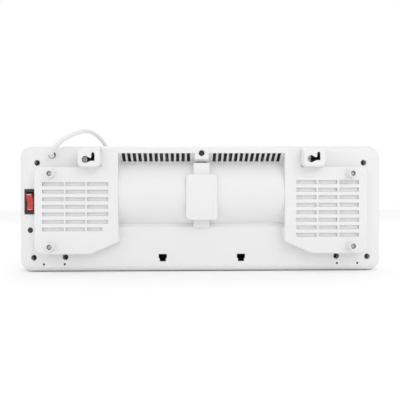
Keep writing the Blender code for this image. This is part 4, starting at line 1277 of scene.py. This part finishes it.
# Name, place, size and power of each lamp; all aim at the same point
LAMP_TARGET = (0.0, 0.0, 0.1)
LAMPS = (
    ("key", (-0.9, 1.5, 1.3), (1.0, 0.8), 5.5),
    ("fill", (1.3, 1.3, 0.7), (1.2, 1.0), 1.5),
    ("front", (0.3, -1.8, 1.3), (1.4, 1.0), 4.0),
)


def add_camera():
    """Camera facing the rear from just beside its middle, level with the fan."""
    data = bpy.data.cameras.new("camera")
    data.sensor_width = 36.0
    data.lens = FOCAL_LENGTH
    data.clip_end = 50.0
    camera = bpy.data.objects.new("camera", data)
    camera.location = CAMERA_PLACE
    camera.rotation_euler = [math.radians(turn) for turn in CAMERA_TURN]
    bpy.context.scene.collection.objects.link(camera)
    bpy.context.scene.camera = camera


def add_light(name, location, size, energy):
    """Soft white area light aimed at the heater."""
    data = bpy.data.lights.new(name, "AREA")
    data.shape = "RECTANGLE"
    data.size, data.size_y = size
    data.energy = energy
    lamp = bpy.data.objects.new(name, data)
    lamp.location = location
    direction = Vector(LAMP_TARGET) - Vector(location)
    lamp.rotation_euler = direction.to_track_quat("-Z", "Y").to_euler()
    bpy.context.scene.collection.objects.link(lamp)


def add_studio():
    """Pale floor, soft lights and an even white surround."""
    world = bpy.data.worlds.new("studio")
    world.use_nodes = True
    tree = world.node_tree
    coords = tree.nodes.new("ShaderNodeTexCoord")
    split = tree.nodes.new("ShaderNodeSeparateXYZ")
    ramp = tree.nodes.new("ShaderNodeValToRGB")
    stops = ramp.color_ramp.elements
    stops[0].position, stops[0].color = 0.42, (1.0, 1.0, 1.0, 1.0)
    stops[1].position, stops[1].color = 0.85, (0.95, 0.95, 0.96, 1.0)
    tree.links.new(coords.outputs["Generated"], split.inputs[0])
    tree.links.new(split.outputs["Z"], ramp.inputs["Fac"])
    tree.links.new(ramp.outputs["Color"], tree.nodes["Background"].inputs["Color"])
    bpy.context.scene.world = world
    bpy.context.scene.view_settings.view_transform = "Standard"

    nodes = Nodes("floor_finish")
    nodes.drive("Base Color", nodes.ramp(nodes.noise(2.0), (0.965,) * 3, (0.98,) * 3))
    nodes.shader.inputs["Roughness"].default_value = 0.9
    bm = bmesh.new()
    bmesh.ops.create_grid(bm, x_segments=1, y_segments=1, size=6.0)
    floor = finish(bm, "floor", bpy.context.scene.collection, nodes.material)
    floor.location.z = -0.0002

    for lamp in LAMPS:
        add_light(*lamp)


# Kit finish of every CAD node that is shown as it is
CARRIED = {
    "air_duct": "inner", "fan_wheel_left": "inner", "fan_wheel_right": "inner", "fan_shaft": "steel",
    "motor_housing": "steel", "motor_stator": "screw", "motor_rotor": "steel", "winding_left": "copper",
    "winding_right": "copper", "bearing_left": "rubber", "bearing_right": "rubber", "ptc_frame": "black",
    "ptc_element": "alloy", "thermostat": "steel", "thermal_fuse": "brass", "outlet_grille": "black",
    "power_board": "board", "display_board": "board", "display_digits": "window", "relay_left": "black",
    "relay_right": "black", "capacitor": "black", "transformer": "copper", "terminal_block": "inner",
    "filter_left": "filter", "filter_right": "filter", "louver_motor": "steel", "cord_gland": "black",
}


def dress_carried(kit):
    """Give the CAD nodes that stay their finishes."""
    for node, kind in CARRIED.items():
        obj = frame["nodes"][node]
        obj.data.materials.clear()
        obj.data.materials.append(getattr(kit, kind))


def main():
    """Dress the heater."""
    add_camera()
    kit = Kit()
    build_cord(kit)
    build_rear_shell(kit)
    build_front_shell(kit)
    build_front_trim(kit)
    build_louver(kit)
    build_motor_cover(kit)
    build_switch_housing(kit)
    build_rocker(kit)
    build_keyhole_guides(kit)
    build_mode_button(kit)
    build_screws(kit)
    record = frame["record"]
    bodies = {node: body for body, nodes in record["behaviour"]["bodies"].items() for node in nodes}
    kit.settle(bodies)
    dress_carried(kit)
    add_studio()
    bpy.context.view_layer.update()


main()
